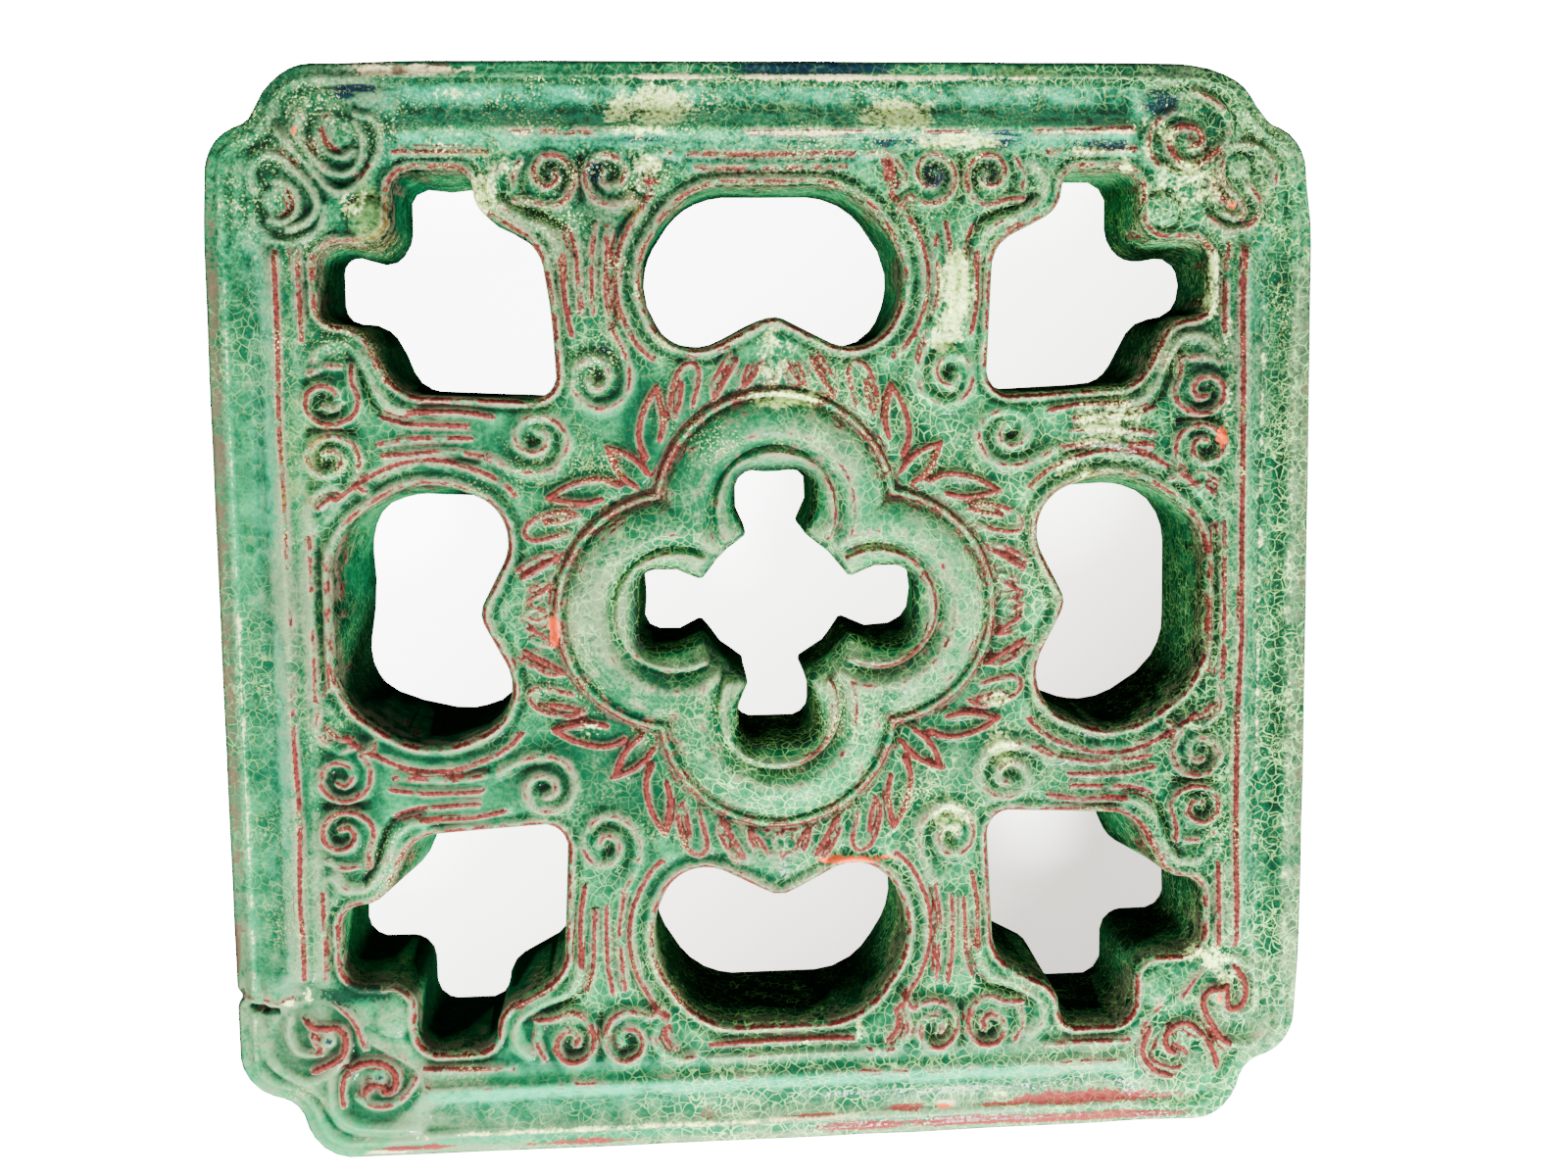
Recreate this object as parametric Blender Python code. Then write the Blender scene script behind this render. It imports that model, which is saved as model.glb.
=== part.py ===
"""Pierced breeze block tile of green glazed terracotta, lying on its back with the carved face up.

Metres. The origin is the middle of the flat back, +X and +Y run along the sides, +Z points out
of the carved face. The tile was pressed in one mould, so it is one solid: a flat slab, the relief
joined onto it, and nine openings cut right through. The pattern is laid out in one arm, pointing
along +Y, and one corner, in the +X +Y quarter, and turned and mirrored from there.
"""
import math

import bmesh
import bpy
import numpy as np
from mathutils import Matrix, Vector

# Whole tile
TILE_SIDE = 0.300
SLAB_DEPTH = 0.0415
FIELD_STEP = 0.0015
MIDDLE_SHIFT = 0.0024
GREEN_GLAZE = (0.19, 0.44, 0.25, 1.0)

# How closely arcs are followed, and how deep each piece of relief is sunk into what carries it
ARC_SAG = 0.00033
WIDEST_STEP = math.radians(42)
SINK = 0.0020
BEAD_SINK = 0.0004
HAIR = 0.00002
WELD = 0.00001

# Notched corners of the outline: two round lobes with a soft hollow between them
LOBE_RADIUS = 0.0130
LOBE_FROM_CORNER = 0.0295
HOLLOW_RADIUS = 0.0090

# Frame mouldings, measured inward from the side of the tile
LEDGE_WIDTH = 0.0053
LEDGE_BEAD = 0.0012
CORNER_FIELD_IN = 0.0078
CREST_IN = 0.0188
CREST_WIDTH = 0.0014
CREST_RISE = 0.0060
CREST_BACK = 0.0018
COVE_WIDTH = 0.0085
COVE_STEPS = 4
MOULDING_STOP = 0.0205
MOULDING_OVERLAP = 0.001
REVEAL_IN = 0.0242
REVEAL_BEAD = 0.0012
REVEAL_GAP_HALF = 0.0220

# Openings beside the corners of the frame
CORNER_RAIL = 0.0297
CORNER_BOSS = 0.0193
CORNER_FLARE = 0.0213
CORNER_SHOULDER = 0.0103
COLUMN_OUTER = 0.0587
COLUMN_SPLAY = 0.0023
CORNER_INNER_ROUND = 0.0055
CORNER_NECK_ROUND = 0.0070
CORNER_SHOULDER_ROUND = 0.0085
CORNER_END_ROUND = 0.0035
CORNER_BOSS_ROUND = 0.0050

# Openings in the middle of each side
SIDE_RAIL = 0.0305
END_RAIL = 0.0338
FLANK_HALF_WIDTH = 0.0375
FLANK_SHOULDER_HALF = 0.0225
FLANK_SHOULDER_DROP = 0.0235
FLANK_LOBE_HALF = 0.0268
FLANK_LOBE_REACH = 0.0680
FLANK_POINT_REACH = 0.0815
FLANK_POINT_ROUND = 0.0070
FLANK_LOBE_ROUND = 0.0135
FLANK_SIDE_ROUND = 0.0140
FLANK_SHOULDER_ROUND = 0.0080

# Raised rims round the openings
RIM_BEAD = 0.0022
RIM_OFFSET = 0.0009
GARLAND_OFFSET = 0.0064
GARLAND_BEAD = 0.0017

# Quatrefoil of the medallion: a broad ring with a thin fillet outside it
LOBE_CENTRE = 0.0275
RING_RADIUS = 0.0233
RING_BEAD = 0.0066
FILLET_RADIUS = 0.0320
FILLET_BEAD = 0.0012
CUSP_OVERLAP = math.radians(2)

# Opening in the medallion: four rounded arms, small paired ears between them, and a lip round it all
CROSS_REACH = 0.0382
CROSS_HALF_WIDTH = 0.0109
CROSS_KNEE = 0.0275
EAR_HALF = 0.0079
EAR_IN = 0.0205
EAR_NOTCH = 0.0150
EAR_ROUND = 0.0015
CROSS_KNEE_ROUND = 0.0050
CROSS_END_ROUND = 0.0098
LIP_WIDTH = 0.0032
LIP_VALLEY = 0.0188
LIP_BEAD = 0.0022
LIP_ROUND = 0.0125
LIP_VALLEY_ROUND = 0.0030

# Columns between the openings
COLUMN_AXIS = 0.0500
FLUTE_PITCH = 0.0040
FLUTE_BEAD = 0.0015
FLUTE_LOW = 0.0775
FLUTE_TOP_IN = 0.0440
FLUTE_SPREAD = 1.35

# Capitals where the columns meet the frame
CAPITAL_TOP_IN = 0.0238
CAPITAL_RISE = 0.0014
CAPITAL_AXIS = 0.0515
CAPITAL_HALF_WIDTH = 0.0255
CAPITAL_TIP_IN = 0.0345
CAPITAL_SHOULDER_IN = 0.0420
CAPITAL_SHOULDER_HALF = 0.0155
CAPITAL_NECK_IN = 0.0500
CAPITAL_NECK_HALF = 0.0090
CAPITAL_SCROLL_IN = 0.0317
CAPITAL_SCROLL_PITCH = 0.0080
CAPITAL_SCROLL_RADIUS = 0.0051
CAPITAL_LEAF_PITCH = 0.0215
CAPITAL_LEAF_LENGTH = 0.0050
CAPITAL_LEAF_HALF_WIDTH = 0.0026
CAPITAL_EDGE_ROUND = 0.0020
CAPITAL_SHOULDER_ROUND = 0.0050

# Scrolls at the foot of the columns and in the corners of the frame
FOOT_SCROLL_ALONG = 0.0640
FOOT_SCROLL_ACROSS = 0.0480
FOOT_SCROLL_RADIUS = 0.0076
CORNER_SCROLL_FAR_IN = 0.0193
CORNER_SCROLL_NEAR_IN = 0.0353
CORNER_SCROLL_RADIUS = 0.0092
SCROLL_BEAD = 0.0024
SCROLL_STEP = math.radians(36)
SCROLL_EYE = 0.30
SCROLL_THINNING = 0.35
BOSS_IN = 0.0420
BOSS_RADIUS = 0.0052

# Leaves between the quatrefoil and the columns: across, along, half length, half width, lean in degrees
LEAF_RISE = 0.0024
HALF_ARM_LEAVES = (
    (0.0335, 0.0540, 0.0092, 0.0033, 7),
    (0.0245, 0.0615, 0.0072, 0.0034, 18),
    (0.0138, 0.0650, 0.0062, 0.0026, 25),
    (0.0065, 0.0655, 0.0040, 0.0022, 28),
)
DIAGONAL_LEAF = 0.0412
DIAGONAL_LEAF_HALF = 0.0070
DIAGONAL_LEAF_HALF_WIDTH = 0.0032

HALF = TILE_SIDE / 2
MOULDING_HALF_LENGTH = HALF - LOBE_FROM_CORNER - MOULDING_STOP
FIELD = SLAB_DEPTH + FIELD_STEP
MIRROR_X = Matrix.Diagonal((-1.0, 1.0, 1.0, 1.0))


def quarter(turns):
    """Turn about +Z by a number of quarter turns."""
    return Matrix.Rotation(turns * math.pi / 2, 4, "Z")


def arc(centre, radius, start, end):
    """Points on an arc from one angle to another, both ends among them."""
    step = min(WIDEST_STEP, 2 * math.acos(1 - ARC_SAG / radius))
    count = max(1, math.ceil(abs(end - start) / step))
    angles = [start + (end - start) * i / count for i in range(count + 1)]
    return [Vector((centre[0] + radius * math.cos(a), centre[1] + radius * math.sin(a))) for a in angles]


def rounded_outline(corners):
    """Closed outline through the corners, each rounded by its own radius as far as its sides allow."""
    points = []
    for index, (x, y, radius) in enumerate(corners):
        here = Vector((x, y))
        before = Vector(corners[index - 1][:2]) - here
        after = Vector(corners[(index + 1) % len(corners)][:2]) - here
        half_angle = before.angle(after) / 2
        reach = min(radius / math.tan(half_angle), 0.49 * before.length, 0.49 * after.length)
        inner = reach * math.tan(half_angle)
        middle = here + (before.normalized() + after.normalized()).normalized() * (reach / math.cos(half_angle))
        first = here + before.normalized() * reach - middle
        last = here + after.normalized() * reach - middle
        start = math.atan2(first.y, first.x)
        turn = (math.atan2(last.y, last.x) - start + math.pi) % math.tau - math.pi
        points += arc(middle, inner, start, start + turn)
    return points


def four_times(corners):
    """Corners of one quarter, repeated round the middle."""
    repeated = []
    for turns in range(4):
        for x, y, radius in corners:
            place = quarter(turns) @ Vector((x, y, 0.0))
            repeated.append((place.x, place.y, radius))
    return repeated


def offset(points, distance):
    """The outline moved by a distance to the right of its direction of travel."""
    out = []
    for index, point in enumerate(points):
        ahead = (points[(index + 1) % len(points)] - points[index - 1]).normalized()
        out.append(point + Vector((ahead.y, -ahead.x)) * distance)
    return out


def carried(points, matrix):
    """Plane points turned or mirrored by a matrix."""
    return [(matrix @ point.to_3d()).to_2d() for point in points]


def carried_place(matrix, x, y):
    """One plane place carried by a matrix."""
    return carried([Vector((x, y))], matrix)[0]


def carried_angle(matrix, angle):
    """A direction in the pattern's own arm, as an angle after the matrix has carried it."""
    there = carried_place(matrix, math.cos(angle), math.sin(angle))
    return math.atan2(there.y, there.x)


def corner_arcs(inset):
    """Outline of the +X +Y corner, counterclockwise, moved inward by an inset."""
    near = HALF - LOBE_FROM_CORNER
    far = HALF - LOBE_RADIUS
    radius = LOBE_RADIUS - inset
    hollow = HOLLOW_RADIUS + inset
    gap = (far - near) / math.sqrt(2)
    along = (far + near) / 2 + math.sqrt((radius + hollow) ** 2 - gap ** 2) / math.sqrt(2)
    lean = math.atan2(along - near, along - far)
    points = arc((far, near), radius, 0, lean)
    points += arc((along, along), hollow, lean + math.pi, math.pi * 1.5 - lean)[1:-1]
    return points + arc((near, far), radius, math.pi / 2 - lean, math.pi / 2)


def tile_outline(inset=0.0):
    """Square with notched corners, counterclockwise, moved inward by an inset."""
    points = []
    for turns in range(4):
        points += carried(corner_arcs(inset), quarter(turns))
    return points


def field_outline():
    """Raised field: inside the crest along each side, and out to the ledge in the corners."""
    crest = HALF - CREST_IN - CREST_WIDTH / 2
    edge = HALF - CORNER_FIELD_IN
    corner = [Vector((crest, MOULDING_HALF_LENGTH)), Vector((edge, MOULDING_HALF_LENGTH))]
    corner += corner_arcs(CORNER_FIELD_IN)
    corner += [Vector((MOULDING_HALF_LENGTH, edge)), Vector((MOULDING_HALF_LENGTH, crest))]
    points = []
    for turns in range(4):
        points += carried(corner, quarter(turns))
    return points


def corner_opening():
    """Opening beside a corner of the frame, in the +X +Y quarter, counterclockwise."""
    reach = HALF - CORNER_RAIL
    boss = reach - CORNER_BOSS
    flare = COLUMN_OUTER + CORNER_FLARE
    lower = [
        (reach - CORNER_FLARE, COLUMN_OUTER + COLUMN_SPLAY, CORNER_NECK_ROUND),
        (reach - CORNER_SHOULDER, flare, CORNER_SHOULDER_ROUND),
        (reach, flare, CORNER_END_ROUND),
        (reach, boss, CORNER_BOSS_ROUND),
    ]
    upper = [(y, x, radius) for x, y, radius in reversed(lower)]
    inner = (COLUMN_OUTER, COLUMN_OUTER, CORNER_INNER_ROUND)
    return rounded_outline([inner] + lower + [(boss, boss, CORNER_BOSS_ROUND)] + upper)


def flank_opening(rail):
    """Opening in the middle of a side, in the arm along +Y, counterclockwise from its point."""
    reach = HALF - rail
    half = [
        (FLANK_LOBE_HALF, FLANK_LOBE_REACH, FLANK_LOBE_ROUND),
        (FLANK_HALF_WIDTH, reach - FLANK_SHOULDER_DROP, FLANK_SIDE_ROUND),
        (FLANK_SHOULDER_HALF, reach, FLANK_SHOULDER_ROUND),
    ]
    left = [(-x, y, radius) for x, y, radius in reversed(half)]
    return rounded_outline([(0.0, FLANK_POINT_REACH, FLANK_POINT_ROUND)] + half + left)


def cross_opening():
    """Opening in the medallion, counterclockwise."""
    side = [
        (EAR_IN, EAR_HALF, EAR_ROUND),
        (CROSS_KNEE, CROSS_HALF_WIDTH, CROSS_KNEE_ROUND),
        (CROSS_REACH, CROSS_HALF_WIDTH, CROSS_END_ROUND),
    ]
    arm = [(x, -y, radius) for x, y, radius in side] + side[::-1]
    return rounded_outline(four_times(arm + [(EAR_NOTCH, EAR_NOTCH, EAR_ROUND)]))


def cross_lip():
    """Crest of the lip round the opening in the medallion, without the ears, counterclockwise."""
    reach = CROSS_REACH + LIP_WIDTH
    half = CROSS_HALF_WIDTH + LIP_WIDTH
    end = [(reach, -half, LIP_ROUND), (reach, half, LIP_ROUND)]
    return rounded_outline(four_times(end + [(LIP_VALLEY, LIP_VALLEY, LIP_VALLEY_ROUND)]))


def lobe(radius, overlap=0.0):
    """Lobe of a quatrefoil in the +Y arm, from its right cusp to its left one, run on by an angle."""
    diagonal = (LOBE_CENTRE + math.sqrt(2 * radius ** 2 - LOBE_CENTRE ** 2)) / 2
    lean = math.atan2(diagonal - LOBE_CENTRE, diagonal) - overlap
    return arc((0.0, LOBE_CENTRE), radius, lean, math.pi - lean)


def quatrefoil(radius):
    """Closed quatrefoil of four round lobes, counterclockwise."""
    points = []
    for turns in range(4):
        points += carried(lobe(radius)[1:], quarter(turns))
    return points


def rails():
    """The four arms as quarter turns, each with the width of its rail: wider at the top and bottom."""
    return [(0, END_RAIL), (1, SIDE_RAIL), (2, END_RAIL), (3, SIDE_RAIL)]


def outer_openings():
    """Outlines of the eight openings round the medallion, each with a name."""
    loops = []
    for turns, rail in rails():
        loops.append((f"flank_{turns}", carried(flank_opening(rail), quarter(turns))))
        loops.append((f"corner_{turns}", carried(corner_opening(), quarter(turns))))
    return loops


def new_mesh_object(name, mesh, collection):
    """Put a mesh into the scene as an object of its own."""
    thing = bpy.data.objects.new(name, mesh)
    collection.objects.link(thing)
    return thing


def mesh_from_curve(curve, name, collection):
    """Turn a curve into a closed mesh object, with its caps welded on."""
    maker = bpy.data.objects.new(name, curve)
    collection.objects.link(maker)
    bpy.context.view_layer.update()
    evaluated = maker.evaluated_get(bpy.context.evaluated_depsgraph_get())
    mesh = bpy.data.meshes.new_from_object(evaluated)
    bpy.data.objects.remove(maker)
    bpy.data.curves.remove(curve)
    body = bmesh.new()
    body.from_mesh(mesh)
    bmesh.ops.remove_doubles(body, verts=body.verts, dist=1e-6)
    bmesh.ops.recalc_face_normals(body, faces=body.faces)
    body.to_mesh(mesh)
    body.free()
    mesh.name = name
    return new_mesh_object(name, mesh, collection)


def plate(name, points, low, high, collection):
    """Flat piece with the given outline, from one height to another."""
    curve = bpy.data.curves.new(name, "CURVE")
    curve.dimensions = "2D"
    curve.fill_mode = "BOTH"
    curve.extrude = (high - low) / 2
    spline = curve.splines.new("POLY")
    spline.points.add(len(points) - 1)
    for target, point in zip(spline.points, points):
        target.co = (point.x, point.y, 0.0, 1.0)
    spline.use_cyclic_u = True
    body = mesh_from_curve(curve, name, collection)
    body.data.transform(Matrix.Translation((0.0, 0.0, (high + low) / 2)))
    return body


def bead(name, points, height, radius, collection, closed=True, thinning=None, sides=0):
    """Round moulding along a path with its axis at a height; thinning scales its radius at each point."""
    curve = bpy.data.curves.new(name, "CURVE")
    curve.dimensions = "3D"
    curve.bevel_depth = radius
    curve.bevel_resolution = sides
    curve.use_fill_caps = not closed
    spline = curve.splines.new("POLY")
    spline.points.add(len(points) - 1)
    for index, (target, point) in enumerate(zip(spline.points, points)):
        target.co = (point.x, point.y, height, 1.0)
        target.radius = 1.0 if thinning is None else thinning[index]
    spline.use_cyclic_u = closed
    return mesh_from_curve(curve, name, collection)


def leaf(name, centre, half_length, half_width, rise, angle, collection):
    """Low pointed leaf with six sides, its widest section just under the field."""
    body = bmesh.new()
    bmesh.ops.create_uvsphere(body, u_segments=6, v_segments=2, radius=1.0)
    mesh = bpy.data.meshes.new(name)
    body.to_mesh(mesh)
    body.free()
    scale = Matrix.Diagonal((half_length, half_width, rise, 1.0))
    lift = Matrix.Translation((centre[0], centre[1], FIELD - BEAD_SINK))
    mesh.transform(lift @ Matrix.Rotation(angle, 4, "Z") @ scale)
    return new_mesh_object(name, mesh, collection)


def scroll(name, centre, radius, start, turns, collection):
    """Spiral bead that winds in from its outer end, thinning towards its eye."""
    count = math.ceil(abs(turns) * math.tau / SCROLL_STEP)
    points = []
    thinning = []
    for index in range(count + 1):
        share = index / count
        angle = start + share * turns * math.tau
        away = radius * (1.0 - (1.0 - SCROLL_EYE) * share)
        points.append(Vector((centre[0] + away * math.cos(angle), centre[1] + away * math.sin(angle))))
        thinning.append(1.0 - SCROLL_THINNING * share)
    bead(name, points, FIELD - BEAD_SINK, SCROLL_BEAD, collection, closed=False, thinning=thinning)


def half_arms():
    """Every half of every arm: its name, the matrix that carries the +X half of the +Y arm there, its hand."""
    halves = []
    for turns in range(4):
        halves.append((f"{turns}_right", quarter(turns), 1))
        halves.append((f"{turns}_left", quarter(turns) @ MIRROR_X, -1))
    return halves


def frame_mouldings(collection):
    """Ledge bead round the whole outline, a cove rising to a crest on each side, and short reveal beads."""
    bead("ledge", tile_outline(LEDGE_WIDTH), SLAB_DEPTH - BEAD_SINK, LEDGE_BEAD, collection)
    crest = HALF - CREST_IN
    inner = crest - CREST_WIDTH
    section = []
    for step in range(COVE_STEPS + 1):
        share = step / COVE_STEPS
        section.append(Vector((crest + COVE_WIDTH * (1 - share), CREST_RISE * share ** 1.7 - BEAD_SINK)))
    section.append(Vector((inner, CREST_RISE - BEAD_SINK)))
    section.append(Vector((inner - CREST_BACK, -BEAD_SINK)))
    section.append(Vector((inner - CREST_BACK, -SINK)))
    section.append(Vector((crest + COVE_WIDTH, -SINK)))
    upright = Matrix(((0, 0, 1, 0), (1, 0, 0, 0), (0, 1, 0, SLAB_DEPTH), (0, 0, 0, 1)))
    length = MOULDING_HALF_LENGTH + MOULDING_OVERLAP
    reveal = HALF - REVEAL_IN
    outer_end = CAPITAL_AXIS + CAPITAL_HALF_WIDTH - MOULDING_OVERLAP
    for turns in range(4):
        cove = plate(f"cove_{turns}", section, -length, length, collection)
        cove.data.transform(quarter(turns) @ upright)
        for low, high in ((-length, -outer_end), (-REVEAL_GAP_HALF, REVEAL_GAP_HALF), (outer_end, length)):
            ends = carried([Vector((low, reveal)), Vector((high, reveal))], quarter(turns))
            bead(f"reveal_{turns}", ends, FIELD - BEAD_SINK, REVEAL_BEAD, collection, closed=False)


def opening_rims(collection):
    """A bead just outside every opening, and a garland bead further out round each opening in a side."""
    height = FIELD - BEAD_SINK
    bead("lip", cross_lip(), height, LIP_BEAD, collection)
    for name, loop in outer_openings():
        bead(f"rim_{name}", offset(loop, RIM_OFFSET), height, RIM_BEAD, collection)
    for turns, rail in rails():
        loop = offset(flank_opening(rail), GARLAND_OFFSET)
        for side in (-1, 1):
            path = [p for p in loop if p.x * side > FLANK_SHOULDER_HALF and p.y > FLUTE_LOW]
            bead(f"garland_{turns}", carried(path, quarter(turns)), height, GARLAND_BEAD, collection, closed=False)


def medallion(collection):
    """Quatrefoil ring of four round lobes with a thin fillet outside it, and the leaves around it.

    Neighbouring lobes differ in height by a hair, so that no two crests meet edge to edge.
    """
    bead("fillet", quatrefoil(FILLET_RADIUS), FIELD - BEAD_SINK, FILLET_BEAD, collection)
    for turns in range(4):
        height = FIELD - BEAD_SINK - HAIR * turns
        path = carried(lobe(RING_RADIUS, CUSP_OVERLAP), quarter(turns))
        bead(f"ring_{turns}", path, height, RING_BEAD, collection, closed=False, sides=2)
        place = carried_place(quarter(turns), DIAGONAL_LEAF, DIAGONAL_LEAF)
        leaf(f"diagonal_leaf_{turns}", place, DIAGONAL_LEAF_HALF, DIAGONAL_LEAF_HALF_WIDTH, LEAF_RISE,
             math.pi / 4 + turns * math.pi / 2, collection)
    for name, matrix, hand in half_arms():
        for x, y, half_length, half_width, lean in HALF_ARM_LEAVES:
            angle = carried_angle(matrix, math.radians(90 + lean))
            leaf(f"leaf_{name}", carried_place(matrix, x, y), half_length, half_width, LEAF_RISE, angle, collection)


def capital_outline():
    """Capital of one column, spread under the frame and narrowing down to the column."""
    half = [
        (CAPITAL_NECK_HALF, HALF - CAPITAL_NECK_IN, CAPITAL_EDGE_ROUND),
        (CAPITAL_SHOULDER_HALF, HALF - CAPITAL_SHOULDER_IN, CAPITAL_SHOULDER_ROUND),
        (CAPITAL_HALF_WIDTH, HALF - CAPITAL_TIP_IN, CAPITAL_EDGE_ROUND),
        (CAPITAL_HALF_WIDTH, HALF - CAPITAL_TOP_IN, CAPITAL_EDGE_ROUND),
    ]
    left = [(-x, y, radius) for x, y, radius in reversed(half)]
    return [point + Vector((CAPITAL_AXIS, 0.0)) for point in rounded_outline(half + left)]


def columns(collection):
    """Flutes up each column, its capital with two scrolls and two leaves, and the scroll at its foot."""
    scroll_line = HALF - CAPITAL_SCROLL_IN
    flute_top = HALF - FLUTE_TOP_IN
    for name, matrix, hand in half_arms():
        plate(f"capital_{name}", carried(capital_outline(), matrix), FIELD - SINK, FIELD + CAPITAL_RISE, collection)
        for flute in (-1, 0, 1):
            path = []
            for share in (0.0, 0.6, 1.0):
                x = COLUMN_AXIS + flute * FLUTE_PITCH * (1.0 + (FLUTE_SPREAD - 1.0) * share ** 3)
                path.append(carried_place(matrix, x, FLUTE_LOW + share * (flute_top - FLUTE_LOW)))
            bead(f"flute_{name}", path, FIELD - BEAD_SINK, FLUTE_BEAD, collection, closed=False)
        for side in (-1, 1):
            centre = carried_place(matrix, CAPITAL_AXIS + side * CAPITAL_SCROLL_PITCH, scroll_line)
            start = carried_angle(matrix, math.radians(90 - side * 100))
            scroll(f"capital_scroll_{name}", centre, CAPITAL_SCROLL_RADIUS, start, side * hand * 0.95, collection)
            tip = carried_place(matrix, CAPITAL_AXIS + side * CAPITAL_LEAF_PITCH, scroll_line + 0.001)
            angle = carried_angle(matrix, math.radians(90 + side * 25))
            leaf(f"capital_leaf_{name}", tip, CAPITAL_LEAF_LENGTH, CAPITAL_LEAF_HALF_WIDTH, LEAF_RISE * 1.2,
                 angle, collection)
        foot = carried_place(matrix, FOOT_SCROLL_ACROSS, FOOT_SCROLL_ALONG)
        scroll(f"foot_scroll_{name}", foot, FOOT_SCROLL_RADIUS, carried_angle(matrix, math.radians(140)),
               hand * 1.3, collection)


def corner_ornament(collection):
    """Two scrolls back to back in each corner of the frame, and the boss between them."""
    far = HALF - CORNER_SCROLL_FAR_IN
    near = HALF - CORNER_SCROLL_NEAR_IN
    for turns in range(4):
        turn = quarter(turns)
        scroll(f"corner_scroll_{turns}_upper", carried_place(turn, near, far), CORNER_SCROLL_RADIUS,
               carried_angle(turn, math.radians(-110)), -1.4, collection)
        scroll(f"corner_scroll_{turns}_side", carried_place(turn, far, near), CORNER_SCROLL_RADIUS,
               carried_angle(turn, math.radians(200)), 1.4, collection)
        boss = carried_place(turn, HALF - BOSS_IN, HALF - BOSS_IN)
        leaf(f"corner_boss_{turns}", boss, BOSS_RADIUS * 1.3, BOSS_RADIUS, LEAF_RISE * 1.3,
             carried_angle(turn, math.radians(135)), collection)


def glaze(name, colour, roughness):
    """Glossy coloured glaze."""
    material = bpy.data.materials.new(name)
    material.use_nodes = True
    shader = material.node_tree.nodes["Principled BSDF"]
    shader.inputs["Base Color"].default_value = colour
    shader.inputs["Roughness"].default_value = roughness
    shader.inputs["Metallic"].default_value = 0.0
    return material


def boolean(target, operation, collection):
    """Join onto, or cut from, the target everything in a collection."""
    modifier = target.modifiers.new(operation.lower(), "BOOLEAN")
    modifier.operation = operation
    modifier.operand_type = "COLLECTION"
    modifier.collection = collection
    modifier.solver = "EXACT"


def shift_middle(mesh):
    """Move the middle of the pattern up the tile, fading to nothing at its edges, as the pressing left it."""
    places = np.empty(len(mesh.vertices) * 3, dtype=np.float64)
    mesh.vertices.foreach_get("co", places)
    places = places.reshape(-1, 3)
    places[:, 1] += MIDDLE_SHIFT * (1.0 - (places[:, 1] / HALF) ** 2)
    mesh.vertices.foreach_set("co", places.ravel())
    mesh.update()


def hide_tools(collection):
    """Show the tools of a collection as wire, and keep them out of renders."""
    for thing in collection.objects:
        thing.hide_render = True
        thing.display_type = "WIRE"


def main():
    """Build the tile."""
    for thing in list(bpy.data.objects):
        bpy.data.objects.remove(thing)
    block = bpy.data.collections.new("breeze_block_tile")
    relief = bpy.data.collections.new("relief_tools")
    cutters = bpy.data.collections.new("opening_cutters")
    for collection in (block, relief, cutters):
        bpy.context.scene.collection.children.link(collection)

    slab = plate("slab", tile_outline(), 0.0, SLAB_DEPTH, block)
    plate("field", field_outline(), SLAB_DEPTH - SINK, FIELD, relief)
    frame_mouldings(relief)
    opening_rims(relief)
    medallion(relief)
    columns(relief)
    corner_ornament(relief)
    for name, loop in [("cross", cross_opening())] + outer_openings():
        plate(f"cut_{name}", loop, -SINK, FIELD + 2 * RING_BEAD, cutters)

    boolean(slab, "UNION", relief)
    boolean(slab, "DIFFERENCE", cutters)
    bpy.context.view_layer.update()
    mesh = bpy.data.meshes.new_from_object(slab.evaluated_get(bpy.context.evaluated_depsgraph_get()))
    bpy.data.objects.remove(slab)
    body = bmesh.new()
    body.from_mesh(mesh)
    bmesh.ops.remove_doubles(body, verts=body.verts, dist=WELD)
    bmesh.ops.dissolve_degenerate(body, edges=body.edges, dist=WELD)
    bmesh.ops.triangulate(body, faces=body.faces)
    body.to_mesh(mesh)
    body.free()
    shift_middle(mesh)
    mesh.shade_smooth()
    mesh.set_sharp_from_angle(angle=math.radians(35))
    tile = new_mesh_object("tile", mesh, block)
    tile.data.materials.clear()
    tile.data.materials.append(glaze("green_glaze", GREEN_GLAZE, 0.25))
    hide_tools(relief)
    hide_tools(cutters)


main()
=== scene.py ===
"""Pierced breeze block tile in green crackled glaze, seen from above on a pale floor.

The tile is one surface: a height worked out over the whole face on a fine grid, trimmed along the
outline and the nine openings, with walls down to a flat back. All lengths in the pattern are in
millimetres; the mesh is in metres.
"""
import math

import bpy
import numpy as np
from mathutils import Matrix, Vector
from mathutils.geometry import delaunay_2d_cdt


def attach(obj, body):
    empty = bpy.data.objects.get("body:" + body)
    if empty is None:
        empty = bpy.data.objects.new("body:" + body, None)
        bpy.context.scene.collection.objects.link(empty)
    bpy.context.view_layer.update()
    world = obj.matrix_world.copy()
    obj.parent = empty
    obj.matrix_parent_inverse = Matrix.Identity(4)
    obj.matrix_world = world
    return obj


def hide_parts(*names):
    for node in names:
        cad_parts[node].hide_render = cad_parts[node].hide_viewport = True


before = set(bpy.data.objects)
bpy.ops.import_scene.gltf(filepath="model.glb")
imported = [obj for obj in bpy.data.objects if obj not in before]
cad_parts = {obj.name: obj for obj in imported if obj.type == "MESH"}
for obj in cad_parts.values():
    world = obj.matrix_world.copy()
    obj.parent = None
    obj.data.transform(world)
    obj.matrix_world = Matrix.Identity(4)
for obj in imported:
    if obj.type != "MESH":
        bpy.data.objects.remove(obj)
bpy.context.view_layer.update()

GRID = 0.5
MARGIN = 6.0
TRIANGLES = 188000
MM = 0.001

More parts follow.
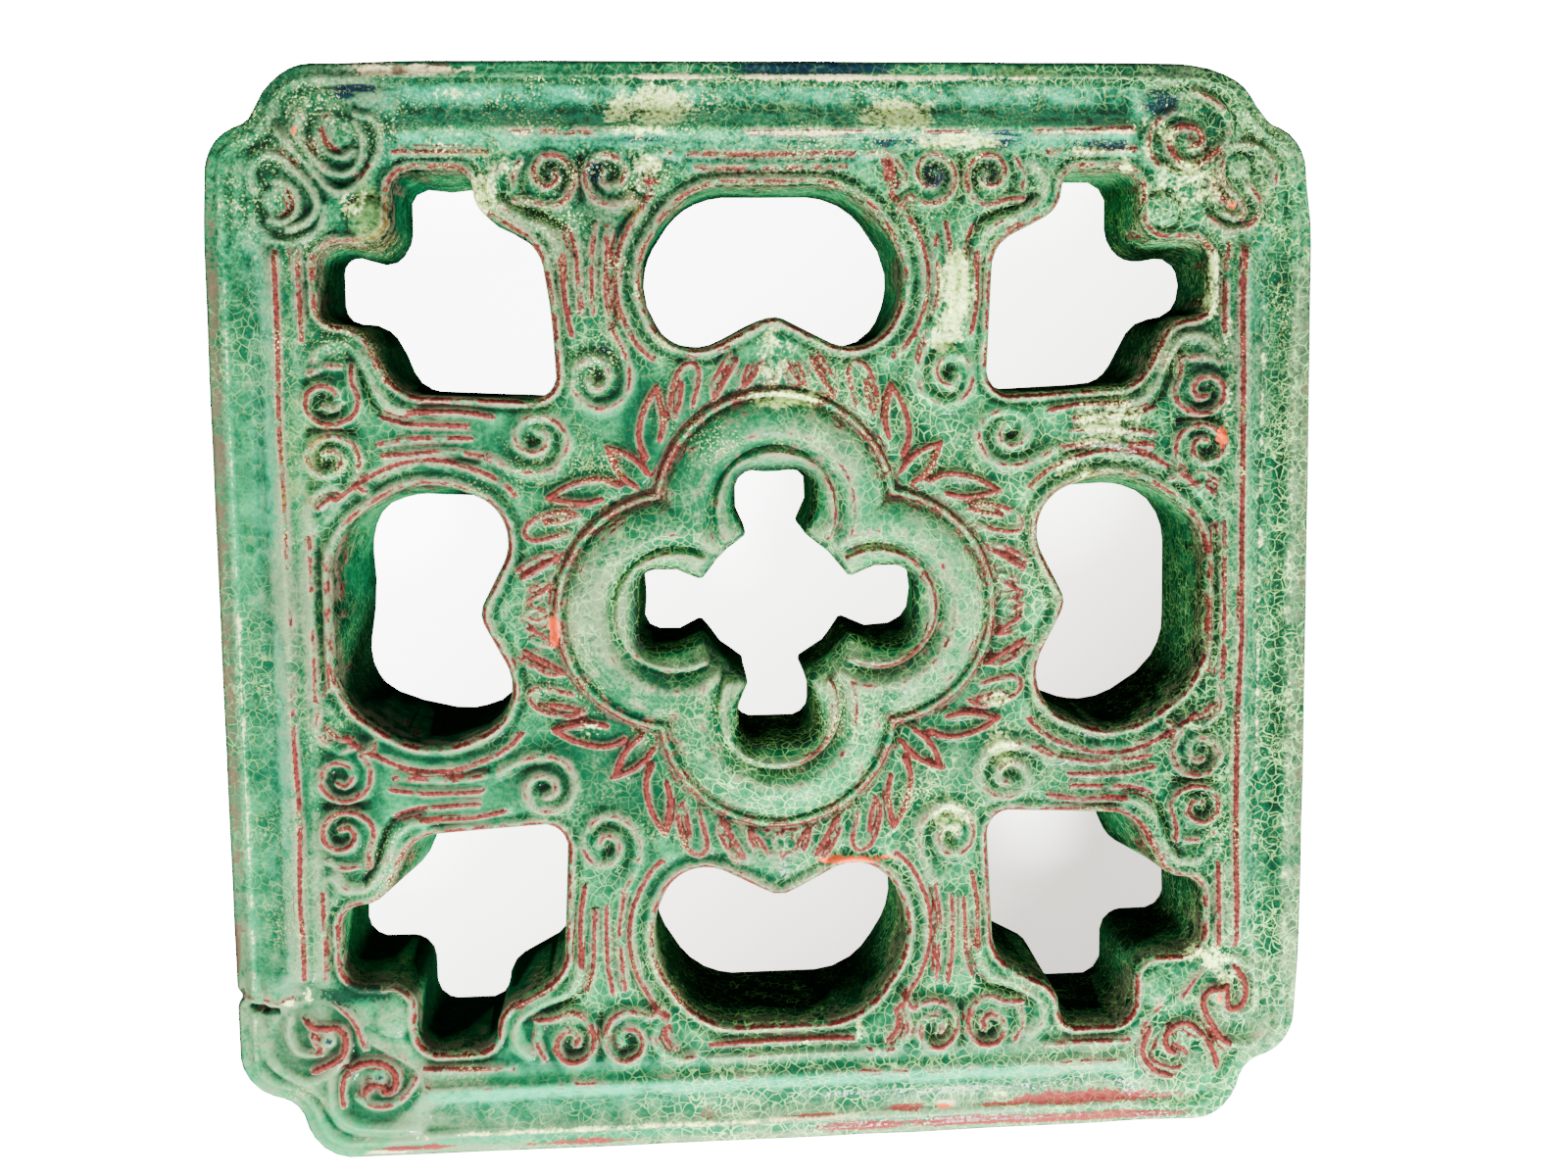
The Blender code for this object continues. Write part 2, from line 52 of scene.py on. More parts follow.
# Half the side, the height of the field above the back, the tuck of the walls at the back, and how far
# the middle of the pattern is moved up
HALF = 150.0
FIELD = 43.2
BACK_TUCK = 0.72
MIDDLE_SHIFT = 2.4

# Outline corners
LOBE_RADIUS = 13.0
LOBE_FROM_CORNER = 29.5
HOLLOW_RADIUS = 9.0

# Flank openings: how far their outer ends are from the middle, in the upright arms and in the level ones
FLANK_ENDS = (116.2, 119.5)

# Frame: where its straight mouldings give way to the corners, and the crest that its section is drawn for
CORNER_STARTS = (97.0, 102.5)
CREST = 19.6

# Reveals: places of the two short ridges beside the openings, from the edge of the tile
OUTER_REVEAL = 24.6
INNER_REVEAL = 28.4

# Quatrefoil: centres of its lobes, and its ring's crest, foot on either side, rise and roundness
LOBE_CENTRE = 27.5
RING_RADIUS = 22.3
RING_INNER_FOOT = 4.6
RING_OUTER_FOOT = 8.6
RING_RISE = 5.2
RING_ROUNDNESS = 0.8
FILLET_RADIUS = 32.3

# Rounding at the openings and at the edge of the tile, and the softness of the whole face
OPENING_ROUND = 2.8
OUTER_ROUND = 1.2
SOFTNESS = 0.28

# Beads parallel to an edge: distance from it, half width, and rise, which is less than nought in a groove.
# Those of the ring and the lip are placed by their distance from the centre of the nearest lobe.
LEDGE_BEADS = ((4.3, 0.8, 0.9),)
FLANK_BEADS = ((1.2, 1.0, 1.5), (3.8, 1.2, -1.0))
COLUMN_BEADS = ((7.0, 1.2, 1.3),)
CORNER_BEADS = ((1.1, 1.0, 1.5), (3.2, 0.9, -0.7))
RING_BEADS = ((FILLET_RADIUS, 1.0, 1.5), (34.0, 0.8, -0.9), (30.8, 0.8, -0.5), (18.3, 1.1, -0.4))
LIP_BEADS = ((15.9, 1.3, 2.4),)

# Red lines: the distance that stands for no line near, and the share of redness under which none is drawn
NO_LINE = 3.0
FAINTEST_RED = 0.05

# The share of a grid step within which a grid point is moved onto an edge, and how much the walls sway
SNAP = 0.32
WALL_SWAY = 0.22


def arc(centre, radius, start, end, step=math.radians(7)):
    """Points on an arc: centre plus radius times the cosine and sine of evenly spaced angles."""
    count = max(2, math.ceil(abs(end - start) / step)) + 1
    angles = np.linspace(start, end, count)
    return np.c_[centre[0] + radius * np.cos(angles), centre[1] + radius * np.sin(angles)]


def rounded_outline(corners):
    """Closed outline through the corners, each replaced by an arc that touches both of its sides.

    Each corner is its two coordinates and the radius of its arc.
    """
    spots = np.array([corner[:2] for corner in corners], float)
    pieces = []
    for index, (*_, radius) in enumerate(corners):
        before = spots[index - 1] - spots[index]
        after = spots[(index + 1) % len(spots)] - spots[index]
        long_before, long_after = np.linalg.norm(before), np.linalg.norm(after)
        before, after = before / long_before, after / long_after
        half_angle = math.acos(float(np.clip(before @ after, -1, 1))) / 2
        reach = min(radius / math.tan(half_angle), 0.49 * long_before, 0.49 * long_after)
        middle = before + after
        middle = spots[index] + middle / np.linalg.norm(middle) * reach / math.cos(half_angle)
        first = spots[index] + before * reach - middle
        last = spots[index] + after * reach - middle
        start = math.atan2(first[1], first[0])
        turn = (math.atan2(last[1], last[0]) - start + math.pi) % math.tau - math.pi
        pieces.append(arc(middle, reach * math.tan(half_angle), start, start + turn))
    return np.concatenate(pieces)


def quarter(turns):
    """Plane matrix of a number of quarter turns."""
    angle = turns * math.pi / 2
    return np.array([[math.cos(angle), -math.sin(angle)], [math.sin(angle), math.cos(angle)]])


MIRROR_X = np.array([[-1.0, 0.0], [0.0, 1.0]])
HALF_ARMS = [quarter(turns) @ mirror for turns in range(4) for mirror in (np.eye(2), MIRROR_X)]


def tile_outline():
    """Square with notched corners: two lobes and a hollow between them in each corner."""
    near, far = HALF - LOBE_FROM_CORNER, HALF - LOBE_RADIUS
    gap = (far - near) / math.sqrt(2)
    along = (far + near) / 2 + math.sqrt((LOBE_RADIUS + HOLLOW_RADIUS) ** 2 - gap ** 2) / math.sqrt(2)
    lean = math.atan2(along - near, along - far)
    corner = np.concatenate([
        arc((far, near), LOBE_RADIUS, 0, lean),
        arc((along, along), HOLLOW_RADIUS, lean + math.pi, math.pi * 1.5 - lean)[1:-1],
        arc((near, far), LOBE_RADIUS, math.pi / 2 - lean, math.pi / 2),
    ])
    return np.concatenate([corner @ quarter(turns).T for turns in range(4)])


def corner_opening():
    """Opening beside a corner of the frame, in the +X +Y quarter."""
    lower = [(100.2, 60.6, 10.5), (110.0, 79.4, 13.0), (120.9, 79.8, 6.0), (120.9, 101.2, 6.5)]
    upper = [(y, x, radius) for x, y, radius in reversed(lower)]
    return rounded_outline([(58.5, 58.5, 6.5)] + lower + [(101.2, 101.2, 7.0)] + upper)


def flank_opening(outer):
    """Opening in the middle of a side, in the +Y arm."""
    half = [(27.0, 67.6, 14.5), (38.4, outer - 23.5, 22.0), (22.8, outer + 0.4, 21.0)]
    left = [(-x, y, radius) for x, y, radius in reversed(half)]
    return rounded_outline([(0.0, 81.5, 7.0)] + half + left)


def cross_opening():
    """Opening in the medallion."""
    side = [(20.5, 7.9, 1.5), (27.5, 10.9, 5.0), (38.2, 10.9, 9.8)]
    arm = [(x, -y, radius) for x, y, radius in side] + side[::-1] + [(15.0, 15.0, 1.5)]
    corners = []
    for turns in range(4):
        for x, y, radius in arm:
            corners.append((*(quarter(turns) @ (x, y)), radius))
    return rounded_outline(corners)


def flowing(points, per_span=7):
    """Catmull-Rom curve through the points: on each span a cubic whose ends lean along their neighbours."""
    spots = np.asarray(points, float)
    spots = np.concatenate([[2 * spots[0] - spots[1]], spots, [2 * spots[-1] - spots[-2]]])
    share = np.linspace(0, 1, per_span, endpoint=False)[:, None]
    spans = []
    for a, b, c, d in zip(spots[:-3], spots[1:-2], spots[2:-1], spots[3:]):
        spans.append(0.5 * (2 * b + (c - a) * share + (2 * a - 5 * b + 4 * c - d) * share ** 2
                            + (3 * b - a - 3 * c + d) * share ** 3))
    return np.concatenate(spans + [spots[-2][None]])


def smoothstep(low, high, value):
    """0 below low, 1 above high, and 3s^2 - 2s^3 between."""
    share = np.clip((value - low) / (high - low), 0, 1)
    return share * share * (3 - 2 * share)


def bead(distance, place, width):
    """Share of a rounded bead: exp(-((distance - place) / width) squared)."""
    return np.exp(-((distance - place) / width) ** 2)


def add_beads(height, distance, beads, share=1.0):
    """Raises the height by each bead's rise times its share at that distance."""
    for place, width, rise in beads:
        height += rise * bead(distance, place, width) * share


def oval(x, y, cx, cy, reach_x, reach_y):
    """Share of a soft oval: exp(-(across / reach) squared - (up / reach) squared) from its centre."""
    return np.exp(-((x - cx) / reach_x) ** 2 - ((y - cy) / reach_y) ** 2)


class Sheet:
    """Square grid over the tile, in pattern millimetres, with one array for each quality of the face."""

    def __init__(self):
        reach = HALF + MARGIN
        self.axis = np.arange(-reach, reach + GRID / 2, GRID)
        self.count = len(self.axis)
        self.x, self.y = np.meshgrid(self.axis, self.axis, indexing="ij")
        self.ridge = np.zeros_like(self.x)
        self.groove = np.zeros_like(self.x)
        self.line = np.full_like(self.x, NO_LINE)
        self.line_red = np.zeros_like(self.x)

    def window(self, low, high):
        """Slices of the grid that cover a box."""
        first = np.clip(((np.asarray(low) + HALF + MARGIN) / GRID).astype(int) - 1, 0, self.count)
        last = np.clip(((np.asarray(high) + HALF + MARGIN) / GRID).astype(int) + 2, 0, self.count)
        return slice(first[0], last[0]), slice(first[1], last[1])

    def away(self, path, closed, reach):
        """Distance to a path, out to a reach, in the part of the grid round it.

        It is the least of the distances to the path's straight spans. The third result is the same
        distance, less than nought on the right of the path.
        """
        box = self.window(path.min(0) - reach, path.max(0) + reach)
        x, y = self.x[box], self.y[box]
        nearest = np.full(x.shape, float(reach) ** 2)
        left = np.ones(x.shape, bool)
        ends = np.roll(path, -1, axis=0) if closed else path[1:]
        for (ax, ay), (bx, by) in zip(path, ends):
            dx, dy = bx - ax, by - ay
            long = dx * dx + dy * dy + 1e-12
            share = np.clip(((x - ax) * dx + (y - ay) * dy) / long, 0, 1)
            far = (x - ax - share * dx) ** 2 + (y - ay - share * dy) ** 2
            left = np.where(far < nearest, dx * (y - ay) > dy * (x - ax), left)
            nearest = np.minimum(nearest, far)
        nearest = np.sqrt(nearest)
        return box, nearest, np.where(left, nearest, -nearest)

    def inside(self, path):
        """Which grid points are inside a closed path: a ray along +X crosses it an odd number of times."""
        box = self.window(path.min(0), path.max(0))
        x, y = self.x[box], self.y[box]
        odd = np.zeros(x.shape, bool)
        for (ax, ay), (bx, by) in zip(path, np.roll(path, -1, axis=0)):
            if ay != by:
                crosses = (ay > y) != (by > y)
                odd ^= crosses & (x < (bx - ax) * (y - ay) / (by - ay) + ax)
        whole = np.zeros(self.x.shape, bool)
        whole[box] = odd
        return whole

    def by_side(self, right, left, top, bottom):
        """One value for each side of the tile, out to the diagonals."""
        upright = np.abs(self.x) > np.abs(self.y)
        return np.where(upright, np.where(self.x > 0, right, left), np.where(self.y > 0, top, bottom))

    def from_point(self, cx, cy):
        """Distance from a point."""
        return np.hypot(self.x - cx, self.y - cy)

    def signed(self, path, reach):
        """Distance into the material from an opening's outline: less than nought inside the opening."""
        away = np.full(self.x.shape, float(reach))
        box, near, _ = self.away(path, True, reach)
        away[box] = near
        return np.where(self.inside(path), -away, away)

    def add_line(self, aside, red, box=np.s_[:, :]):
        """Red line where the distance aside passes nought; each place keeps the line nearest to it."""
        red = np.broadcast_to(red, aside.shape)
        nearer = (np.abs(aside) < np.abs(self.line[box])) & (red > FAINTEST_RED)
        self.line[box] = np.where(nearer, aside, self.line[box])
        self.line_red[box] = np.where(nearer, red, self.line_red[box])

    def add_ridge(self, path, width, rise, red=0.0, broad=1.0):
        """Rounded ridge along a path: rise times exp(-(distance / width) squared), the highest one kept.

        The red line on it is drawn as many times broader as broad says.
        """
        box, near, aside = self.away(path, False, max(2.0 * broad, width * 2.6))
        shape = np.maximum(np.exp(-(near / width) ** 2) - math.exp(-2.6 ** 2), 0)
        self.ridge[box] = np.maximum(self.ridge[box], rise * shape)
        self.add_line(aside / broad, red, box)

    def add_groove(self, path, width, depth):
        """Rounded groove along a path, the deepest one kept."""
        box, near, _ = self.away(path, False, width * 2.6)
        self.groove[box] = np.maximum(self.groove[box], depth * np.exp(-(near / width) ** 2))

    def soften(self, field, size):
        """The field blurred by a Gaussian of the given size, through its Fourier transform."""
        along = np.fft.fftfreq(self.count, GRID)[:, None]
        across = np.fft.rfftfreq(self.count, GRID)[None, :]
        keep = np.exp(-2 * (math.pi * size) ** 2 * (along ** 2 + across ** 2))
        return np.fft.irfft2(np.fft.rfft2(field) * keep, s=field.shape)

    def mottle(self, seed, size):
        """Even random field with features of a size: softened white noise, scaled to a spread of one."""
        coarse = np.random.default_rng(seed).standard_normal((400, 400))
        spread = np.linspace(0, 399, self.count).astype(int)
        field = self.soften(coarse[np.ix_(spread, spread)], size)
        return (field - field.mean()) / field.std()

    def sample(self, field, x, y):
        """The field between grid points, mixed from the four round each place."""
        across = np.clip((x + HALF + MARGIN) / GRID, 0, self.count - 1.001)
        along = np.clip((y + HALF + MARGIN) / GRID, 0, self.count - 1.001)
        i, j = across.astype(int), along.astype(int)
        s, t = across - i, along - j
        return (field[i, j] * (1 - s) * (1 - t) + field[i + 1, j] * s * (1 - t)
                + field[i, j + 1] * (1 - s) * t + field[i + 1, j + 1] * s * t)


def profile(distance, knots):
    """Height across a moulding: straight between (distance, height) knots."""
    places, heights = zip(*knots)
    return np.interp(distance, places, heights)


# Height above the back across the frame, along its sides and round its corners: distance from the edge
# and height
FRAME_SECTION = (
    (0.0, 40.8), (1.0, 41.6), (3.4, 41.9), (4.2, 42.9), (5.0, 42.2), (6.0, 41.7), (9.0, 41.9),
    (12.0, 42.1), (14.0, 42.8), (16.0, 44.3), (18.0, 46.2), (19.0, 46.7), (20.0, 46.4), (21.0, 45.5),
    (22.0, 44.8), (24.0, 44.4), (30.0, 43.9),
)
CORNER_SECTION = (
    (0.0, 40.8), (1.0, 41.6), (3.8, 41.9), (4.8, 42.8), (5.6, 42.3), (7.0, 42.0), (9.0, 42.8),
    (11.0, 43.2), (30.0, 43.4),
)

# How light or dark and how hazy each side of the frame is: distance, tone and haze. The tones are partly
# pooled and hazy glaze and partly painted light and shade: the crest's slopes on the bottom and the left are
# painted lighter, and the right side has a painted glossy streak at 14.
BAND_REACH = 30.0
FRAME_TONES_AND_PAINTED_LIGHT = {
    "right": (
        (0, -0.3, 0.8), (5.5, -0.2, 0.6), (6.3, -0.4, 0.2), (7, -0.8, 0), (8, -1, 0),
        (9.5, -0.6, 0.05), (12, -0.1, 0.05), (13, 0.5, 0.3), (14, 1, 0.6), (15, 0.8, 0.4),
        (16, 0.15, 0.1), (17.5, 0.15, 0.15), (19, 0.6, 0.5), (21, -0.1, 0.3), (24, 0, 0.2),
    ),
    "left": (
        (0, -0.3, 0.7), (4.2, -0.3, 0.6), (5, 0.1, 0), (7, 0.1, 0), (8, -0.15, 0.05), (10, 0.15, 0.15),
        (12, 0.45, 0.25), (14, 0.7, 0.4), (15, 0.65, 0.45), (17, 0.5, 0.6), (18, 0.1, 0.6),
        (20, -0.3, 0.35), (21.5, -0.3, 0.2), (23, 0.1, 0.45), (26, 0, 0.2),
    ),
    "bottom": (
        (0, 0, 0.9), (2.6, 0, 0.7), (3.4, 0.2, 0.1), (4.4, 0.2, 0.2), (5.2, 0.3, 0.9), (6.5, 0.3, 0.8),
        (9, 0.1, 0.5), (12, 0.4, 0.35), (14, 0.75, 0.1), (18.5, 0.7, 0), (19.5, 0.2, 0.2),
        (20.5, -0.35, 0.35), (21.8, -0.25, 0.1), (23, 0.4, 0.3), (25, 0.5, 0.5), (27, 0.2, 0.2),
    ),
    "top": (
        (0, -0.3, 0), (3, -0.3, 0), (3.5, 0.1, 0.5), (4.3, 0.1, 0.5), (4.9, -0.9, 0), (5.6, -0.7, 0),
        (6.6, 0.3, 0), (7.5, 0.9, 0), (10, 1, 0), (12, 1, 0.15), (13.5, 0.8, 0.2), (15, 0.5, 0.2),
        (16.5, 0.3, 0.2), (18, 0, 0.2), (19, 0.0, 0.3), (20.5, 0.8, 0), (23, 0.5, 0),
        (24.5, 0.15, 0.1), (26, 0.7, 0), (28.5, 0.6, 0), (30, 0.2, 0.1),
    ),
}

# Ridges of one half of an arm, pointing along +Y: width, rise, redness and the places they pass through.
# Each is drawn RIDGE_BREADTH times as wide.
RIDGE_BREADTH = 1.25
HALF_ARM_RIDGES = (
    (0.80, 1.9, 1.0, [(35.0, 42.6), (36.7, 46.5), (36.6, 51.0), (35.0, 56.5), (32.0, 61.6)]),
    (0.80, 1.9, 1.0, [(32.0, 61.6), (30.7, 56.0), (30.3, 51.5), (31.2, 47.4)]),
    (0.80, 1.9, 1.0, [(34.6, 38.0), (37.2, 41.2), (41.0, 43.8), (45.4, 45.4)]),
    (0.75, 1.5, 0.7, [(22.2, 56.6), (20.9, 61.5), (20.3, 65.6), (21.6, 68.0), (24.0, 67.8), (26.3, 65.2),
                      (27.8, 60.5), (28.2, 56.4), (26.8, 53.5)]),
    (0.65, 1.2, 0.8, [(25.0, 62.5), (25.6, 58.5), (26.6, 55.0)]),
    (0.75, 1.5, 0.8, [(10.2, 68.8), (12.2, 65.2), (14.6, 61.2), (16.3, 58.6)]),
    (0.75, 1.5, 0.6, [(12.2, 70.4), (14.6, 66.6), (16.7, 62.0), (16.3, 58.6)]),
    (0.60, 1.2, 0.7, [(3.9, 67.6), (5.4, 64.8), (7.9, 61.6)]),
    (0.60, 1.2, 0.6, [(6.9, 67.2), (8.1, 64.2), (8.5, 61.8)]),
    (0.55, 1.1, 0.5, [(0.0, 68.5), (1.6, 65.5), (0.6, 62.8)]),
    (1.45, 2.4, 0.5, [(43.2, 77.0), (40.4, 71.5), (39.0, 66.0), (39.8, 60.6), (43.2, 57.2), (47.8, 56.0),
                      (52.0, 58.2), (54.3, 62.6), (53.4, 67.2), (49.8, 69.8), (46.0, 68.8), (44.4, 65.4),
                      (45.6, 62.2), (48.6, 61.6), (49.8, 63.8)]),
    (0.80, 1.2, 0.6, [(43.6, 79.0), (45.0, 88.0), (44.6, 96.0), (43.8, 105.0)]),
    (0.75, 1.2, 0.7, [(48.4, 82.0), (48.6, 90.0), (48.4, 98.0), (47.2, 106.0)]),
    (0.75, 1.2, 0.7, [(51.8, 83.0), (52.2, 92.0), (52.6, 99.0), (54.4, 105.0)]),
    (0.85, 1.4, 0.8, [(54.2, 76.0), (55.6, 84.0), (55.8, 92.0), (56.0, 98.0)]),
    (1.50, 2.2, 0.3, [(56.2, 97.0), (56.9, 101.5), (60.2, 105.2), (66.0, 107.4), (71.4, 110.6),
                      (74.4, 114.6), (73.8, 119.2), (70.8, 122.2)]),
    (1.10, 2.2, 0.6, [(34.6, 110.5), (37.2, 113.4), (38.6, 112.4), (43.0, 111.2), (47.6, 113.0),
                      (49.6, 117.4), (48.6, 121.8), (44.8, 124.6), (40.8, 123.4), (39.2, 120.2),
                      (40.4, 117.2), (43.4, 116.2), (45.6, 118.0), (45.0, 120.0)]),
    (1.10, 2.2, 0.7, [(68.2, 112.6), (64.0, 112.4), (58.8, 110.9), (54.8, 112.6), (52.8, 116.8),
                      (53.4, 121.4), (56.6, 124.2), (60.8, 124.0), (63.0, 121.0), (62.2, 117.6),
                      (59.4, 116.2), (57.2, 117.8), (57.6, 119.9)]),
    (0.90, 1.5, 0.5, [(66.6, 123.6), (68.4, 119.6), (68.2, 115.6)]),
    (1.10, 1.7, 0.4, [(24.8, 124.6), (28.6, 125.2), (33.0, 123.8), (35.6, 119.6), (35.0, 115.6)]),
    (0.80, 1.2, 0.7, [(30.0, 122.6), (32.6, 119.6), (32.8, 116.6)]),
)
# Grooves between them, with width, depth and places, and bowls at the scrolls, with across, along and radius
CAPITAL_GROOVES = (
    (1.00, 1.4, [(53.0, 98.0), (54.0, 103.4), (58.0, 107.4), (66.0, 110.4), (72.0, 113.6)]),
    (0.90, 1.0, [(42.6, 80.0), (42.8, 90.0), (42.0, 98.0), (40.2, 105.6), (36.0, 110.6)]),
    (0.80, 0.9, [(57.4, 76.0), (57.8, 84.0), (57.8, 96.0)]),
    (0.90, 1.0, [(51.1, 124.6), (51.0, 118.0), (50.8, 112.4)]),
)
CAPITAL_BOWLS = ((43.8, 119.4, 4.9), (58.0, 119.2, 4.6), (47.6, 65.0, 2.6))

# Carved lines of each corner, where they are on the tile: width, rise, redness and places
CORNER_LINES = (
    (1.1, 2.2, 0.5, [(116.5, 142.3), (121, 140.3), (124.5, 137), (125.8, 133.5), (125.2, 130),
                     (122.8, 127)]),
    (1.1, 2.2, 0.85, [(122.8, 127), (119.5, 124.4), (116, 122.6), (112.8, 123.4), (110.2, 125.8),
                      (108.9, 129), (109.8, 131.8), (112.5, 133), (115.5, 132.8), (117.6, 131.2),
                      (117.9, 128.9), (116, 128)]),
    (1.2, 2.0, 0.7, [(110, 137), (106.5, 135.3), (104, 132.3), (103, 128.8), (103.6, 125.5),
                     (105.6, 122.8)]),
    (1.2, 1.7, 0.0, [(105.6, 122.8), (108.5, 120.8), (112.5, 119.6), (117, 119.9), (121, 122),
                     (124.5, 125.5), (127.5, 130), (128.8, 134.5), (127, 139)]),
    (1.2, 2.1, 0.55, [(124.7, 125.5), (123.5, 121.5), (124.5, 118), (127, 114.8), (129.5, 112),
                      (129.8, 109.5), (127.5, 108.4), (124.5, 109.5)]),
    (1.2, 2.1, 0.6, [(131, 119.5), (132, 116.5), (134.2, 113.8), (134.6, 110.3), (132.5, 107),
                     (128.5, 105.2), (124, 105.8), (120.5, 108.3)]),
    (1.2, 2.0, 0.5, [(124.7, 125.5), (127.8, 127.8), (132, 127.8), (136.3, 126), (139.2, 122.5),
                     (139.4, 118)]),
    (1.1, 1.6, 0.8, [(121.5, 119), (121.8, 116.3), (124, 113.8), (126.5, 112)]),
    (1.3, 2.1, 0.3, [(-116.5, 135.5), (-118.8, 133), (-119, 130), (-117.8, 127.2), (-115.5, 125.3),
                     (-112.5, 125), (-110.3, 126.5)]),
    (0.7, 0.5, 0.9, [(-118.2, 132.5), (-117.3, 129.5), (-116, 127.8), (-114.3, 126.8)]),
    (1.3, 2.3, 0.2, [(-123, 136), (-124.3, 131.5), (-122.5, 127.5), (-119.5, 123.8), (-116, 121),
                     (-112, 120.6), (-109, 122.8), (-107.6, 126.5), (-107.8, 130.5), (-109.5, 134)]),
    (0.6, 0.4, 0.6, [(-122.5, 128.8), (-119.8, 125)]),
    (1.2, 2.1, 0.15, [(-129, 131.5), (-125, 126.5), (-120.5, 121), (-116.5, 117), (-112.5, 115.8),
                      (-108.5, 118.5), (-105.8, 122.3), (-103.4, 126.5), (-102.8, 131), (-104.8, 134.8),
                      (-109, 136)]),
    (0.6, 0.4, 0.8, [(-108.3, 119), (-106, 122.5)]),
    (1.3, 2.1, 0.3, [(-130.5, 118.8), (-128, 117.8), (-126, 115.5), (-125.2, 112.5), (-126.3, 109.8),
                     (-129, 108.3), (-132, 108.8)]),
    (0.7, 0.5, 0.9, [(-127.2, 116), (-126.1, 113.5), (-125.8, 111.5)]),
    (0.6, 0.4, 0.8, [(-129.5, 110.3), (-127.3, 109.9)]),
    (1.3, 2.3, 0.2, [(-136, 117), (-137, 121), (-134, 125), (-129, 124.8), (-125.5, 122), (-122, 118),
                     (-120, 114), (-120.5, 110.5), (-123.5, 107.8), (-127.5, 106.3)]),
    (0.6, 0.3, 0.6, [(-128.5, 126), (-125, 123.2)]),
    (1.2, 1.9, 0.0, [(-137.5, 112), (-136, 107), (-132.5, 103.8), (-128, 102.8), (-122.5, 104),
                     (-119, 107), (-118, 112)]),
    (1.2, 2.2, 0.9, [(-131, -109.8), (-129, -111.6), (-126, -112), (-123, -112), (-121.2, -114),
                     (-121, -117), (-122, -120), (-124.3, -121.6), (-127, -122.8), (-129.5, -123.8)]),
    (1.1, 2.0, 0.7, [(-129.8, -114), (-129, -116), (-127.8, -117.8), (-129, -119), (-131.5, -119)]),
    (1.1, 2.0, 0.2, [(-131.5, -119), (-134, -118), (-135.6, -115.5), (-136.3, -112), (-135.6, -108)]),
    (1.2, 1.8, 0.0, [(-143.3, -112), (-143, -118), (-140, -122.5), (-135, -126.3), (-130, -127),
                     (-125, -124.8), (-121, -121.6)]),
    (1.1, 1.6, 0.6, [(-123, -105.5), (-119.5, -108.5), (-117, -113), (-115.8, -118)]),
    (1.2, 2.2, 0.95, [(-119.5, -123.6), (-116, -122.3), (-112, -122.5), (-109, -124.3), (-107.7, -127),
                      (-108.3, -130), (-110.5, -131)]),
    (1.0, 1.8, 0.95, [(-110.5, -129.9), (-113, -129), (-115, -129.3), (-116.2, -130.8)]),
    (1.2, 2.0, 0.55, [(-118, -132), (-115, -134.2), (-111, -134.9), (-107, -133.5), (-103.5, -130),
                      (-102, -127)]),
    (1.2, 2.0, 0.75, [(-119.5, -123.6), (-121.5, -126), (-122.3, -130), (-122, -134)]),
    (1.2, 1.8, 0.0, [(-125, -127), (-125.3, -133), (-123.5, -137), (-119, -140), (-112, -141.5),
                     (-102, -142)]),
    (0.8, 1.0, 0.45, [(-113, -117), (-109, -119.5), (-105, -122), (-101, -125)]),
    (0.5, 0.2, 0.5, [(-142, -103.5), (-139, -104), (-135.5, -103)]),
    (0.9, 1.1, 0.0, [(-144.6, -97), (-143.8, -110), (-142.5, -119), (-139, -124), (-133.5, -127.6),
                     (-128.5, -131.5), (-126, -136), (-122.5, -140.4), (-116, -142.8), (-101, -143.6)]),
    (1.2, 2.2, 0.9, [(127.5, -110.5), (124, -111), (121.8, -113), (121.6, -116), (123, -119.5),
                     (125, -123), (127, -125.5), (129.5, -127.2)]),
    (1.2, 2.2, 0.9, [(131, -105), (133, -108), (134, -112), (133, -115.5), (130.5, -117), (128.8, -116),
                     (128.5, -112.5), (128.3, -110)]),
    (1.2, 2.0, 0.0, [(131, -102.5), (135, -105), (137.2, -110), (137, -115), (135.5, -118),
                     (132, -119.5)]),
    (1.1, 1.8, 0.3, [(129.5, -127.2), (133, -128.3), (137, -127), (140.5, -123.5)]),
    (1.2, 2.2, 0.8, [(111.5, -123), (114, -121), (117.5, -121.2), (121, -124), (123.5, -127.5),
                     (124.8, -130.5), (125.5, -133.5)]),
    (1.1, 2.0, 0.85, [(111.3, -123), (110.5, -125.5), (111.3, -128.3), (113, -129.3)]),
    (0.9, 1.6, 0.7, [(113.5, -127), (115.5, -128), (116.8, -130.2), (116.2, -132.8), (113, -134),
                     (109, -132.8), (106.5, -131)]),
    (1.2, 2.0, 0.8, [(105.6, -122.5), (104, -127), (104, -130), (106, -133), (108.5, -135),
                     (112, -136.2)]),
    (0.8, 1.0, 0.6, [(109, -115.5), (106, -118.5), (104, -121.5)]),
    (0.8, 1.0, 0.6, [(121, -105), (118, -109), (115, -113)]),
)
# Domes in the corners: across, up, radius and rise
CORNER_DOMES = (
    (129, 122.3, 3.4, 1.6), (107.5, 110.5, 4.6, 1.8), (-114, 131.5, 4.4, 1.3), (-130.6, 113.6, 3.9, 1.3),
    (-107, 109, 5.4, 2.0), (-125.5, -115.4, 2.4, 0.9), (-112.5, -126.7, 2.6, 0.9), (126.3, -113.2, 2.6, 1.0),
    (116.5, -125.5, 3.0, 0.9), (-107.5, -110.5, 4.8, 0.8), (107.5, -110.5, 4.8, 1.4),
)
CRACK_WIDTH = 0.8
CRACK_DEPTH = 3.2
CRACK = ((-145.5, -105.0), (-143.5, -105.8), (-141.5, -106.7), (-139.3, -106.7))
# Shallow sunk discs under the scrolls of the corners
DISC_DEPTH = 0.9
CORNER_DISCS = (
    (115, 130), (129, 116), (-114, 129), (-129, 114), (-129, -116), (-113, -129), (129, -115), (114, -128),
)


